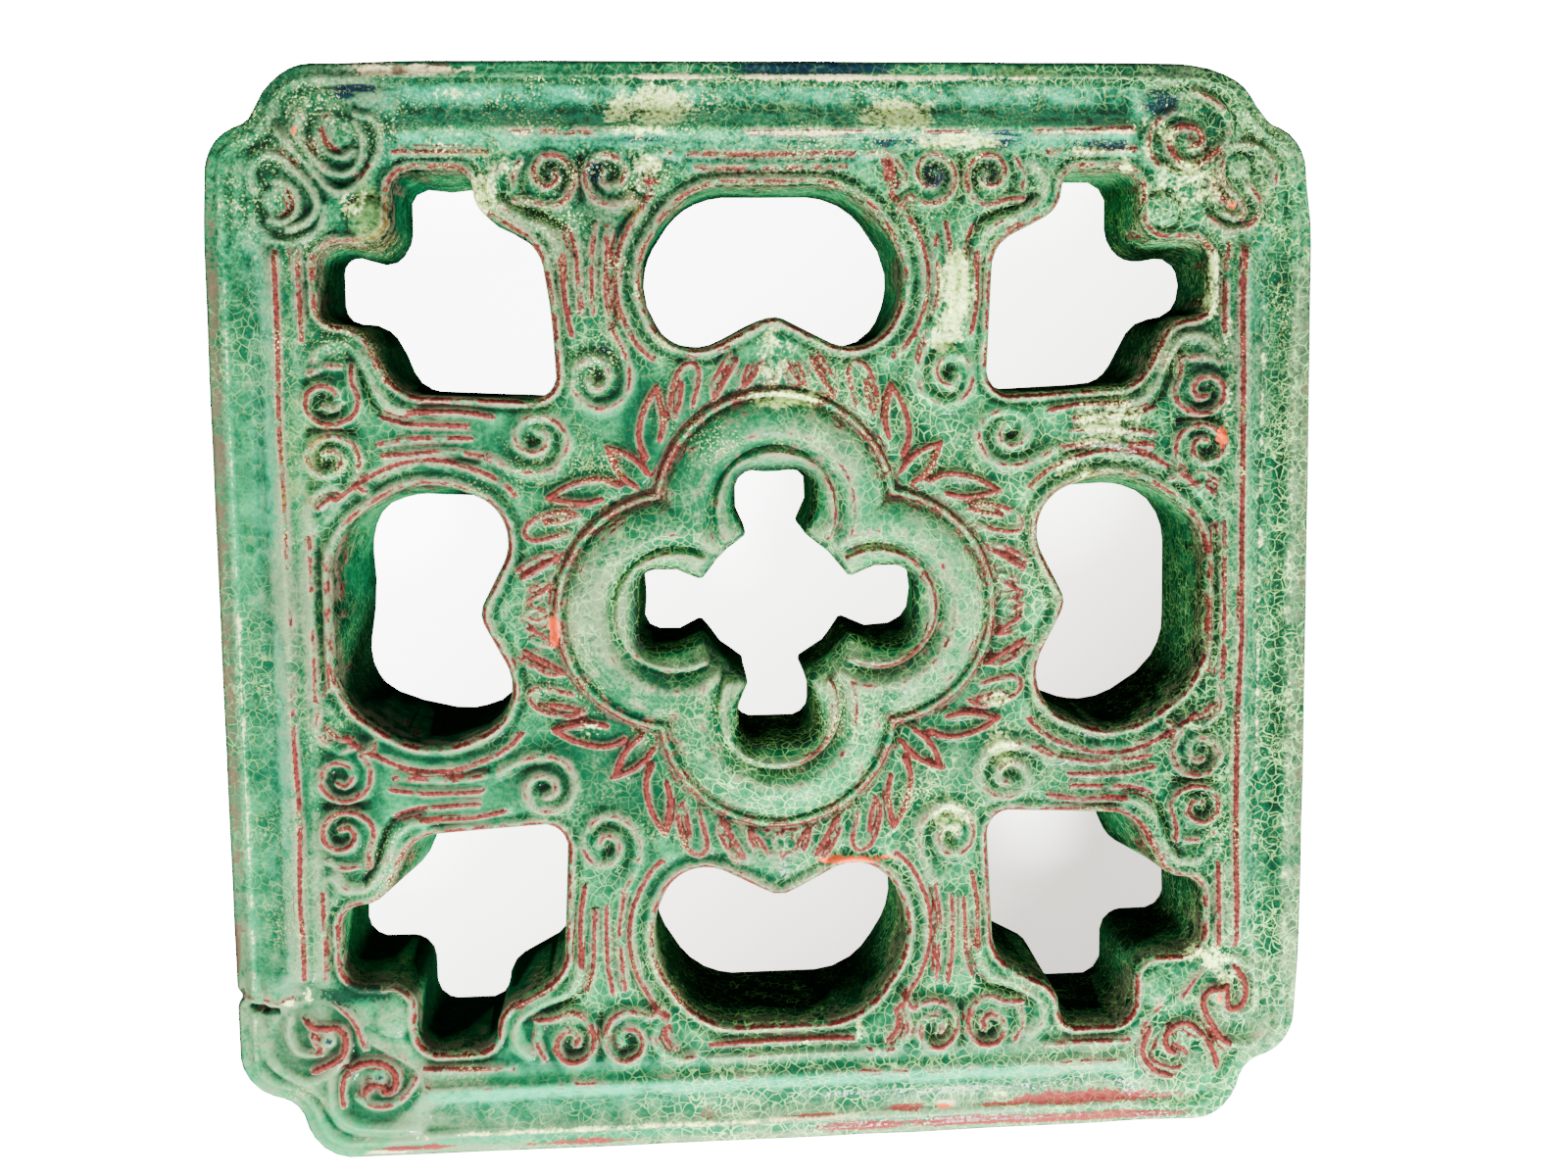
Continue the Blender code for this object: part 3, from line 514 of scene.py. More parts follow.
def shift_middle(y):
    """The pattern's y moved up, most in the middle of the tile and not at all at its edges."""
    return y + MIDDLE_SHIFT * (1 - (y / HALF) ** 2)


def unshift_middle(y):
    """Pattern y of a place on the tile: three rounds of taking off the shift found so far."""
    pattern = y
    for _ in range(3):
        pattern = y - MIDDLE_SHIFT * (1 - (pattern / HALF) ** 2)
    return pattern


def in_pattern(places):
    """Places on the tile as places in the pattern."""
    spots = np.array(places, float)
    spots[:, 1] = unshift_middle(spots[:, 1])
    return spots


class Spans:
    """How far each grid point is from the edge of the tile and from its openings, in pattern millimetres."""

    def __init__(self, sheet):
        away_x, away_y = np.abs(sheet.x), np.abs(sheet.y)
        self.outer = -sheet.signed(tile_outline(), 40.0)
        self.cross = sheet.signed(cross_opening(), 30.0)
        corners, flanks = [], []
        for turns in range(4):
            corners.append(sheet.signed(corner_opening() @ quarter(turns).T, 14.0))
            flanks.append(sheet.signed(flank_opening(FLANK_ENDS[turns % 2]) @ quarter(turns).T, 16.0))
        self.corner = np.min(corners, axis=0)
        self.flank = np.min(flanks, axis=0)
        self.opening = np.minimum(np.minimum(self.corner, self.flank), self.cross)
        self.solid = np.minimum(self.outer, self.opening)
        self.outer_end = np.maximum(away_x, away_y)
        self.inner_end = np.minimum(away_x, away_y)
        self.side = HALF - self.outer_end

        # Whether a place is beside a straight side, and the bottom one, and how far red lines wander there
        self.straight = 1 - smoothstep(*CORNER_STARTS, self.inner_end)
        self.bottom = (sheet.y < 0) & (away_y > away_x)
        self.wander = 0.35 * sheet.mottle(11, 9.0)


def frame_height(sheet, spans):
    """Height of the frame and the field, and the red line on the frame's crest.

    A section across each side passes into the ledge's own section at the corners, and both into the
    flat field. The section is stretched a little on each side to bring its crest to its place.
    """
    side, outer, straight = spans.side, spans.outer, spans.straight
    crest = sheet.by_side(right=20.1, left=19.0, top=19.1, bottom=19.7)
    inward = side - (crest - CREST) * smoothstep(8.0, 16.0, side)
    inward -= 1.2 * spans.bottom * smoothstep(9.0, 6.0, side)
    rim_height = profile(inward, FRAME_SECTION)
    corner_height = profile(outer, CORNER_SECTION)
    height = corner_height + (rim_height - corner_height) * straight
    add_beads(height, outer, LEDGE_BEADS, 1 - straight)
    within = smoothstep(22.0, 27.0, side) * straight + smoothstep(11.0, 14.0, outer) * (1 - straight)
    height += (FIELD - height) * within
    redness = sheet.by_side(right=0.85, left=0.75, top=0.66, bottom=0.34)
    sheet.add_line(side - crest - spans.wander, np.where(straight > 0.5, redness, 0))
    return height


def add_reveals(sheet, spans, height):
    """Short ridges beside the openings, parallel to the frame, with their red lines."""
    side, inner_end, bottom = spans.side, spans.inner_end, spans.bottom
    beside_opening = 1 - smoothstep(21.0, 24.0, inner_end)
    beside_opening += smoothstep(73.0, 77.0, inner_end) * spans.straight
    beside_flank = 1 - smoothstep(19.0, 22.0, inner_end)
    outer_ridge = bead(side, OUTER_REVEAL, 0.85) * beside_opening
    inner_ridge = bead(side, INNER_REVEAL, 0.8) * beside_flank
    height += 1.3 * np.maximum(outer_ridge, inner_ridge)
    outer_red = np.where(bottom & (np.abs(sheet.x) < 40), 0.2, 0.68)
    inner_red = np.where(bottom, 0.9, 0.6)
    sheet.add_line(side - OUTER_REVEAL - spans.wander, np.where(beside_opening > 0.4, outer_red, 0))
    sheet.add_line(side - INNER_REVEAL - spans.wander, np.where(beside_flank > 0.4, inner_red, 0))


def add_rims(sheet, spans, height):
    """A thin ridge and a groove round each opening, and a second ridge along the columns."""
    flank, corner = spans.flank, spans.corner
    column = smoothstep(62.0, 74.0, spans.outer_end) * smoothstep(27.0, 30.0, spans.side)
    column *= smoothstep(30.0, 34.0, spans.inner_end)
    add_beads(height, flank, FLANK_BEADS)
    add_beads(height, flank, COLUMN_BEADS, column)
    add_beads(height, corner, CORNER_BEADS)
    sheet.add_line(corner - 1.0, 0.62)
    sheet.add_line(flank - 1.0, 0.58)
    sheet.add_line(flank - 7.0, np.where(column > 0.4, 0.75, 0))


def add_quatrefoil(sheet, spans, height):
    """Rounded ring with a thin fillet and grooves outside it, and the lip round the opening inside it.

    The ring rises from its feet to its crest as a power of the cosine of a quarter turn.
    """
    lobes = [quarter(turns) @ (0.0, LOBE_CENTRE) for turns in range(4)]
    ring = np.min([sheet.from_point(*lobe) for lobe in lobes], axis=0)
    add_beads(height, ring, RING_BEADS)
    foot = np.where(ring < RING_RADIUS, RING_INNER_FOOT, RING_OUTER_FOOT)
    down = np.clip(np.abs(ring - RING_RADIUS) / foot, 0, 1)
    height += RING_RISE * np.cos(down * math.pi / 2) ** RING_ROUNDNESS
    add_beads(height, ring, LIP_BEADS, smoothstep(1.5, 3.5, spans.cross))
    height += smoothstep(17.5, 15.0, ring)
    height -= 3.4 * smoothstep(4.8, 0.0, spans.cross) ** 1.5
    rightward = smoothstep(-20.0, 30.0, sheet.x)
    sheet.add_line(ring - 31.5, np.where(sheet.y > 5, 0.55, 0.42))
    sheet.add_line(ring - 33.2, 0.60)
    sheet.add_line(ring - 16.4, np.where(spans.cross > 2.5, 0.34 + 0.3 * rightward, 0))
    sheet.add_line(ring - 21.4, 0.30 + 0.12 * rightward)
    sheet.add_line(ring - 28.4, 0.30)


def add_carving(sheet, height):
    """Leaves, scrolls, flutes and capitals of the eight half arms, and the bowls at their scrolls.

    A bowl has a raised rim round it. The red lines are broader at the bottom of the tile.
    """
    for matrix in HALF_ARMS:
        for width, rise, redness, points in HALF_ARM_RIDGES:
            path = flowing(points) @ matrix.T
            at_bottom = path[:, 1].mean() < -110
            sheet.add_ridge(path, RIDGE_BREADTH * width, rise, redness, 1.2 if at_bottom else 1.0)
        for width, depth, points in CAPITAL_GROOVES:
            sheet.add_groove(flowing(points) @ matrix.T, width, depth)
        for cx, cy, radius in CAPITAL_BOWLS:
            away = sheet.from_point(*(matrix @ (cx, cy)))
            height += 0.7 * smoothstep(radius + 4.5, radius + 1.0, away)
            height -= 0.9 * smoothstep(radius + 0.4, radius - 1.0, away)


def add_corners(sheet, height):
    """Carving of the four corners: lines, the crack, sunk discs, and domes with a ring cut round each.

    A dome's height is its rise times the root of 1 - (distance / radius) squared.
    """
    for width, rise, redness, points in CORNER_LINES:
        strong = redness > 0.75 and width > 0.8
        sheet.add_ridge(flowing(in_pattern(points)), width, rise, redness, 1.35 if strong else 1.0)
    sheet.add_groove(flowing(in_pattern(CRACK)), CRACK_WIDTH, CRACK_DEPTH)
    for cx, cy in in_pattern(CORNER_DISCS):
        height -= DISC_DEPTH * smoothstep(13.0, 10.0, sheet.from_point(cx, cy))
    for cx, cy, radius, rise in CORNER_DOMES:
        away = sheet.from_point(cx, unshift_middle(cy))
        height += rise * np.sqrt(np.clip(1 - (away / radius) ** 2, 0, 1))
        height -= 0.35 * rise * bead(away, radius + 0.8, 0.8)


def face_of(sheet):
    """Height of the whole face, and how far each place is into the clay, in pattern millimetres."""
    spans = Spans(sheet)
    height = frame_height(sheet, spans)
    add_reveals(sheet, spans, height)
    add_rims(sheet, spans, height)
    add_quatrefoil(sheet, spans, height)
    add_carving(sheet, height)
    add_corners(sheet, height)
    height += sheet.ridge - sheet.groove

    # Handmade unevenness, and the rounding at every edge
    height += 0.16 * sheet.mottle(3, 6.0)
    height -= OPENING_ROUND * np.clip(1 - spans.opening / OPENING_ROUND, 0, 1) ** 2.6
    height -= 1.1 * np.clip(1 - spans.outer / OUTER_ROUND, 0, 1) ** 2
    return sheet.soften(height, SOFTNESS), spans.solid


def trimmed(sheet, solid):
    """Grid triangles cut along the line where solid is nought.

    Grid points near that line are moved onto it, and each other grid edge that crosses it gets a point
    at the share of its length where solid passes nought.
    """
    x, y, level = sheet.x.copy(), sheet.y.copy(), solid.copy()
    slope_x, slope_y = np.gradient(level, GRID)
    long = np.hypot(slope_x, slope_y) + 1e-9
    near = np.abs(level) < SNAP * GRID
    x[near] -= (level * slope_x / long ** 2)[near]
    y[near] -= (level * slope_y / long ** 2)[near]
    level[near] = 0.0

    # Two triangles in each cell of the grid, split along diagonals that alternate
    count = sheet.count
    index = np.arange(count * count).reshape(count, count)
    a, b = index[:-1, :-1].ravel(), index[1:, :-1].ravel()
    c, d = index[1:, 1:].ravel(), index[:-1, 1:].ravel()
    checker = ((np.arange(count - 1)[:, None] + np.arange(count - 1)[None, :]) % 2 == 0).ravel()
    first = np.where(checker[:, None], np.c_[a, b, c], np.c_[a, b, d])
    second = np.where(checker[:, None], np.c_[a, c, d], np.c_[b, c, d])
    triangles = np.concatenate([first, second])
    places = np.c_[x.ravel(), y.ravel()]
    level = level.ravel()

    # Those that are in the clay, wholly or partly
    signs = np.sign(level[triangles]).astype(int)
    keep = signs.max(1) > 0
    triangles, signs = triangles[keep], signs[keep]
    whole = triangles[signs.min(1) >= 0]
    cut, cut_signs = triangles[signs.min(1) < 0], signs[signs.min(1) < 0]

    def crossing(inside, outside):
        """Points where edges from inside to outside pass nought, one for each edge of the grid."""
        key = np.minimum(inside, outside) * (count * count) + np.maximum(inside, outside)
        share = (level[inside] / (level[inside] - level[outside]))[:, None]
        spots = places[inside] + (places[outside] - places[inside]) * share
        return key, spots

    # Turn each cut triangle so that its odd corner comes first
    plus = (cut_signs > 0).sum(1)
    minus = (cut_signs < 0).sum(1)
    odd = np.where(plus == 1, np.argmax(cut_signs > 0, 1), np.argmax(cut_signs < 0, 1))
    order = (odd[:, None] + np.arange(3)[None, :]) % 3
    cut = np.take_along_axis(cut, order, 1)
    turned = np.take_along_axis(cut_signs, order, 1)
    one_in = (plus == 1) & (minus == 2)
    one_out = (plus == 2) & (minus == 1)
    mixed = (plus == 1) & (minus == 1)

    # One corner in the clay, two in it, or one in it and one on the edge
    p, q, r = cut[one_in].T
    key_pq, at_pq = crossing(p, q)
    key_pr, at_pr = crossing(p, r)
    s, t, u = cut[one_out].T
    key_st, at_st = crossing(t, s)
    key_su, at_su = crossing(u, s)
    v, w, z = cut[mixed].T
    next_is_out = turned[mixed][:, 1] < 0
    key_v, at_v = crossing(v, np.where(next_is_out, w, z))

    # One new point for each grid edge that is cut, and the parts of the cut triangles that are in the clay
    _, where, back = np.unique(np.concatenate([key_pq, key_pr, key_st, key_su, key_v]),
                               return_index=True, return_inverse=True)
    spots = np.concatenate([at_pq, at_pr, at_st, at_su, at_v])[where]
    back = back + count * count
    ends = np.cumsum([len(key_pq), len(key_pr), len(key_st), len(key_su)])
    n_pq, n_pr, n_st, n_su, n_v = np.split(back, ends)
    pieces = [
        whole,
        np.c_[p, n_pq, n_pr],
        np.c_[n_st, t, u], np.c_[n_st, u, n_su],
        np.where(next_is_out[:, None], np.c_[v, n_v, z], np.c_[v, w, n_v]),
    ]
    triangles = np.concatenate(pieces)
    places = np.concatenate([places, spots])
    used, triangles = np.unique(triangles, return_inverse=True)
    return places[used], triangles.reshape(-1, 3)


def rim_edges(triangles, count):
    """Edges that belong to one triangle only, in the direction in which it runs along them."""
    edges = np.concatenate([triangles[:, [0, 1]], triangles[:, [1, 2]], triangles[:, [2, 0]]])
    forward = edges[:, 0] * count + edges[:, 1]
    backward = edges[:, 1] * count + edges[:, 0]
    return edges[~np.isin(forward, backward)]


# How far the lower edge of the walls is from straight below the rim: across, up, shift across, shift up
# and the two reaches
LOWER_EDGE = (
    (-108, 101, 0, -4.0, 9, 9), (-90, 120, 0, -2.6, 10, 10), (111, 101, 0, -4.3, 10, 10),
    (121, 90, 3.0, 0, 8, 8), (-119, 5, 5.0, 0, 12, 24), (-92, 38, 1, -6.5, 18, 10),
    (-100, -38, 2, 3, 16, 10), (92, 38, 0, -6.5, 18, 10), (-108, -70, 4.5, -4, 14, 14),
    (108, -70, -4.5, -4, 14, 14), (-110, 70, 1.5, 1.5, 10, 10), (39, 0, 4.0, 0, 9, 13),
    (24, -20, 2.5, -2.5, 9, 9), (-39, 0, 1.8, 0, 9, 12), (0, 38, 0, -3.2, 13, 9),
    (-24, -20, 1.5, -2, 8, 8),
)
# How far the face is from its regular pattern, in the same way
FACE_SHIFT = (
    (-153, 124, 1.1, 0, 12, 14), (-132, 137, -1.7, 0.9, 6, 6), (-118, 152, 0, -0.8, 16, 9),
    (150, 122, -1.8, -0.6, 12, 12), (125, 149, -1.2, -1.6, 8, 8), (133, 135, 1.4, 0.4, 5, 5),
    (153, -122, -1.2, 0, 12, 14), (-64, 98, -1.8, 0, 7, 12), (-150, -104, 1.3, 0, 2, 1.6),
    (0, -156, 0, -1.9, 200, 9), (156, -10, 1.5, 0, 9, 160), (-156, 0, -0.9, 0, 9, 200),
    (0, 156, 0, 1.0, 200, 9),
)


def moved(x, y, pulls):
    """Shift of each place: the sum of pulls that fade in soft ovals."""
    across, up = np.zeros_like(x), np.zeros_like(x)
    for cx, cy, dx, dy, reach_x, reach_y in pulls:
        share = oval(x, y, cx, cy, reach_x, reach_y)
        across += dx * share
        up += dy * share
    return across, up


# Rows of points down the walls, as shares of their height
WALL_LEVELS = np.array([0.985, 0.94, 0.80, 0.62, 0.44, 0.26, 0.12, 0.028, 0.0])


def flat_back(sheet, solid, bottom, loops):
    """Triangles between the lowest points of the walls, all facing down.

    The outlines are triangulated, and a triangle is kept where the middle of it is in the clay.
    """
    flat = delaunay_2d_cdt([Vector(spot) for spot in bottom.tolist()], loops.tolist(), [], 0, 1e-7, True)
    spots = np.array([tuple(spot) for spot in flat[0]])
    origin = np.array([old[0] if old else -1 for old in flat[3]])
    cells = np.array([face for face in flat[2] if len(face) == 3])
    middle = spots[cells].mean(1)
    shifts = np.stack(moved(*middle.T, LOWER_EDGE), axis=1)
    cells = cells[sheet.sample(solid, *(middle - shifts).T) > 0.0]
    first, second, third = spots[cells].transpose(1, 0, 2)
    turn = np.cross(second - first, third - first)
    return origin[np.where((turn > 0)[:, None], cells[:, ::-1], cells)]


def walls_and_back(sheet, places, heights, triangles, solid):
    """Walls from the trimmed edge straight down, uneven by a fraction of a millimetre, and the flat back."""
    count = len(places)
    edges = rim_edges(triangles, count)
    rim = np.unique(edges)
    slope_x, slope_y = np.gradient(sheet.soften(solid, 1.0), GRID)
    inward = np.c_[sheet.sample(slope_x, *places[rim].T), sheet.sample(slope_y, *places[rim].T)]
    inward /= np.linalg.norm(inward, axis=1)[:, None] + 1e-9
    rough = [sheet.sample(sheet.mottle(20 + k, 3.5), *places[rim].T) for k in range(3)]
    number = np.full(count, -1)
    number[rim] = np.arange(len(rim))
    spots, levels, faces = [places], [heights], [triangles]
    above = rim
    top = heights[rim]
    lower = np.stack(moved(*places[rim].T, LOWER_EDGE), axis=1)
    for step, share in enumerate(WALL_LEVELS):
        sway = WALL_SWAY * (rough[0] * (1 - share) + rough[1] * share + rough[2] * math.sin(3.0 * share))
        sway = sway * float(np.clip(1 - (2 * share - 0.95) ** 4, 0, 1)) if share > 0.05 else sway * 0.0
        tuck = BACK_TUCK if share == 0.0 else 0.0
        spots.append(places[rim] + inward * (sway + tuck)[:, None] + lower * (1 - share))
        levels.append(top * share)
        below = count + step * len(rim) + np.arange(len(rim))
        a, b = edges.T
        upper_a, upper_b = (a, b) if step == 0 else (above[number[a]], above[number[b]])
        lower_a, lower_b = below[number[a]], below[number[b]]
        faces += [np.c_[upper_a, lower_a, lower_b], np.c_[upper_a, lower_b, upper_b]]
        above = below
    back = above[flat_back(sheet, solid, spots[-1], number[edges])]
    return np.concatenate(spots), np.concatenate(levels), np.concatenate(faces + [back])


def mesh_from_arrays(name, points, triangles):
    """Triangle mesh straight from arrays."""
    mesh = bpy.data.meshes.new(name)
    mesh.vertices.add(len(points))
    mesh.vertices.foreach_set("co", points.astype(np.float32).ravel())
    mesh.loops.add(len(triangles) * 3)
    mesh.loops.foreach_set("vertex_index", triangles.astype(np.int32).ravel())
    mesh.polygons.add(len(triangles))
    mesh.polygons.foreach_set("loop_start", np.arange(0, len(triangles) * 3, 3, dtype=np.int32))
    mesh.update(calc_edges=True)
    return mesh


# Marks of age, where they are on the tile: across, up, reach across, reach up, strength
# These hold lime crusts and also painted glints: the long streak along the right side at x 136.4 and the
# dashes along the bottom ledge at y -144.6
LIME_AND_GLINTS = (
    (-40.6, 136.3, 2.6, 4.5, 1.0), (-30, 138.8, 7, 4.5, 1.0), (-34, 131.8, 6, 1.6, 0.6),
    (34.3, 136.1, 8, 4, 1.0), (50.4, 128.7, 10, 1.8, 0.8), (72.5, 141.8, 5, 2, 0.5),
    (-83.3, 141.8, 9, 1.4, 0.5), (-48.1, 142.3, 4, 2, 0.5), (-77, 116, 4, 5, 0.8),
    (-33, 122.5, 4, 3, 0.7), (-70, 123, 3, 2.5, 0.55), (97, 119, 1.6, 7, 0.8), (85, 126.5, 7, 1, 0.7),
    (50, 90, 4, 9, 1.0), (47, 78, 5, 6, 0.8), (92, 52, 9, 6, 0.7), (0, 72, 5, 8, 0.6),
    (2, 60, 9, 2.5, 0.8), (48, -57, 5, 5, 0.7), (62, -37, 4, 6, 0.7), (121.5, 90, 1.6, 9, 0.8),
    (-111, 113, 3, 4, 0.6), (115, 118, 10, 8, 0.60), (96, 112, 5, 3, 0.6), (105.6, 131.3, 7, 7, 0.5),
    (124, -101, 6, 3, 0.8), (128, -107, 3, 2.5, 0.7), (145, -0.3, 0.8, 95, 0.4),
    (126, 60, 1.2, 40, 0.4), (136.4, 0, 0.6, 100, 0.55), (-52, -30, 5, 5, 0.4), (82, 40, 8, 4, 0.5),
    (63, -25, 5, 4, 0.5), (-50.1, -144.6, 52, 0.8, 0.7), (22, -119, 1.2, 3, 0.7),
    (6.5, -121.6, 1, 1, 0.9), (-135.8, -104.3, 1.1, 0.8, 1.0), (-130.5, -102.3, 0.6, 2.6, 0.85),
    (62.4, -140, 2, 2, 0.7), (-30, 130.9, 12, 0.5, 0.5), (-58.1, 130.9, 14, 0.5, 0.5),
)
CREAM = (
    (-28, 146.2, 9, 0.6, 1.0), (28.3, 146, 34, 0.6, 0.9), (-5.9, 146.2, 5, 0.6, 0.8),
    (-92.3, 147.7, 10, 1.2, 1.0), (-104.4, 147.7, 4, 1.6, 1.0), (10.2, 130.9, 16, 0.5, 0.8),
    (84.5, 131.2, 16, 0.5, 0.7), (-145.1, -0.3, 0.4, 110, 0.55), (-110.9, -148.8, 6, 0.5, 1.0),
    (46.3, -142, 2.5, 1, 0.8), (8.2, -144.2, 14, 0.5, 0.8),
)
BLUE = (
    (10.2, 148.5, 20, 1.5, 1.0), (-109.4, 142.9, 4.5, 0.8, 1.0), (-112.4, 140.9, 3, 1.1, 0.8),
    (34.3, 128.8, 8, 1.2, 0.7), (106.5, 139.2, 4, 3.5, 0.9), (-36, 129.5, 12, 0.9, 0.6),
    (62.4, 140.8, 3, 1.5, 0.5), (90, 128, 7, 1.5, 0.8), (63, 129.5, 5, 2.2, 0.8),
    (44, 120, 3, 2.6, 0.8), (-47, 120.5, 1.8, 2.4, 0.9), (58, 120, 2.6, 2.4, 0.7),
    (-46, 74, 2, 1.2, 0.7), (-58, 121, 1.4, 1.2, 0.5), (-125.7, -115.8, 0.9, 0.9, 0.7),
    (-112.5, -126.5, 1.3, 1.0, 0.7), (-43.6, -117, 1.4, 1.2, 0.6), (117, 106, 5, 1.4, 0.5),
)
ORANGE = (
    (-61, -2, 1.2, 4, 1.0), (-124.9, 131.6, 0.6, 1.1, 1.0), (126.5, 112, 1.0, 1.2, 1.0),
    (124.5, 48, 1.4, 2.4, 0.9), (20, -69, 9, 1.0, 0.8), (45.8, -142.8, 1.6, 0.8, 0.9),
    (126.5, -113.5, 1.0, 1.4, 0.6),
)
BROWN = (
    (-148.4, 20, 1.7, 110, 0.62), (148.9, 0, 1.0, 110, 0.5), (-146, -102.4, 1.8, 0.5, 0.9),
    (-142.3, -106.2, 2.6, 0.5, 1.0), (-97.8, 147.7, 1.6, 1.2, 1.0), (-87.3, 149.1, 3, 0.5, 1.0),
    (-149.2, 19.8, 0.6, 14, 0.8), (-149.1, 51.9, 0.6, 8, 0.7), (-149.6, -88.7, 1.0, 7, 1.0),
    (-148.1, 85, 1.6, 36, 0.65), (-149.1, -30.5, 0.7, 30, 0.5), (-21.5, -142, 0.6, 2, 0.9),
    (84.5, 138.3, 4, 1.2, 0.4), (-14.9, -130.8, 85, 0.3, 0.5), (50.4, -130.5, 50, 0.35, 0.5),
)
ROSE = (
    (90, -142.3, 19, 1.4, 1.0), (35.3, -142.7, 4, 0.8, 1.0), (62.4, -143.2, 5, 0.4, 1.0),
    (23.2, -147.7, 10, 1.1, 1.0), (52.4, -147.6, 15, 1.2, 1.0), (88.5, -148, 24, 1.2, 1.0),
    (-56.1, -148.6, 12, 0.5, 0.9), (-104.4, -148, 9, 0.6, 0.9), (8.2, -143.8, 8, 0.3, 0.8),
    (-40.1, -145, 55, 0.3, 0.7), (31.5, 121.5, 1.2, 3.2, 0.9), (-32, 118.5, 2, 0.7, 0.8),
)
DEEP = (
    (-118, -102.5, 12, 3, 0.8), (-148.6, -102, 0.7, 1.6, 1.0), (-120, -60, 5, 30, 0.2),
    (-92, 119, 7, 1.2, 0.6), (8.2, 128.8, 8, 1.4, 0.6), (-112, 117, 3, 3, 0.4),
    (-64.2, 134.3, 26, 2, 0.4), (84.5, 134.3, 18, 1.6, 0.5), (-141.5, 41.9, 2, 6, 0.5),
    (-141.5, 12.7, 1.5, 4, 0.5), (-53.5, 122, 0.8, 5, 0.6), (32.3, 133.9, 1.6, 0.9, 0.8),
    (-37, 136.3, 0.9, 2.4, 0.8), (139.8, 95.1, 1.4, 12, 0.5),
)
OLIVE = (
    (-107, 110, 4.5, 7, 0.9), (-126, 45, 6, 14, 0.55), (85, 36, 16, 6, 0.5), (90, 60, 12, 4, 0.3),
    (-74, 126, 8, 1.5, 0.6), (70.4, 147.8, 10, 1.6, 0.7), (-38, 112, 3, 5, 0.5),
    (3.1, 138.7, 9, 1.6, 0.6), (22.2, 138.7, 3, 1.2, 0.6),
)
# Where the red lines are worn away, in the same way
WORN_LINES = (
    (-27, 131, 13, 2, 1.0), (33, 131, 5, 2, 1.0), (61, 131, 5, 2, 1.0), (-85, 131, 12, 2, 1.0),
    (-131, 5, 2.5, 22, 0.5), (-126, 5, 4, 18, 0.35),
)
MARKS = (
    ("lime_and_glints", LIME_AND_GLINTS), ("blue", BLUE), ("orange", ORANGE), ("brown", BROWN), ("rose", ROSE), ("deep", DEEP),
    ("olive", OLIVE), ("cream", CREAM),
)

# Reach under which a mark counts as narrow, and the spacing of the points kept in a wide one
NARROW = 1.4
LATTICE = 2.0


def marks(x, y, spots):
    """Strength of a kind of mark: the strongest of its soft-edged ovals at each place."""
    level = np.zeros_like(x)
    for cx, cy, reach_x, reach_y, strength in spots:
        far = np.sqrt(((x - cx) / reach_x) ** 2 + ((y - cy) / reach_y) ** 2)
        level = np.maximum(level, strength * np.clip(1.45 - far * 0.75, 0, 1))
    return level


def held_points(sheet, height, spots, points, levels):
    """Whether each point of the face stays: on a red line, at a narrow mark's edge, or in a lattice."""
    on_face = levels > sheet.sample(height, *spots.T) - 0.5
    every = [spot for _, spots_list in MARKS for spot in spots_list]
    narrow = marks(*points[:, :2].T / MM, [spot for spot in every if min(spot[2:4]) < NARROW])
    wide = marks(*points[:, :2].T / MM, [spot for spot in every if min(spot[2:4]) >= NARROW])
    lattice = np.abs(spots / LATTICE - np.round(spots / LATTICE)).max(1) < 0.13
    red_line = sheet.sample(np.abs(sheet.line), *spots.T) < 0.8
    red_line &= sheet.sample(sheet.line_red, *spots.T) > 0.12
    return on_face & (red_line | ((narrow > 0.3) & (narrow < 0.97)) | ((wide > 0.05) & lattice))


def thinned(points, faces, held):
    """The mesh with its number of triangles brought down by Decimate, the held points left alone."""
    fine = bpy.data.objects.new("tile_fine", mesh_from_arrays("tile_fine", points, faces))
    bpy.context.scene.collection.objects.link(fine)
    loose = fine.vertex_groups.new(name="loose")
    loose.add(np.flatnonzero(~held).tolist(), 1.0, "REPLACE")
    thin = fine.modifiers.new("thin", "DECIMATE")
    thin.ratio = min(1.0, TRIANGLES / len(faces))
    thin.vertex_group = "loose"
    thin.vertex_group_factor = 1.0
    bpy.context.view_layer.update()
    mesh = bpy.data.meshes.new_from_object(fine.evaluated_get(bpy.context.evaluated_depsgraph_get()))
    bpy.data.objects.remove(fine)
    print("triangles", len(faces), "thinned to", len(mesh.polygons), "held", int(held.sum()))
    return mesh


def of_vertices(mesh, name):
    """Three numbers for each vertex, as rows of an array."""
    values = np.empty(len(mesh.vertices) * 3, np.float32)
    mesh.vertices.foreach_get(name, values)
    return values.reshape(-1, 3)


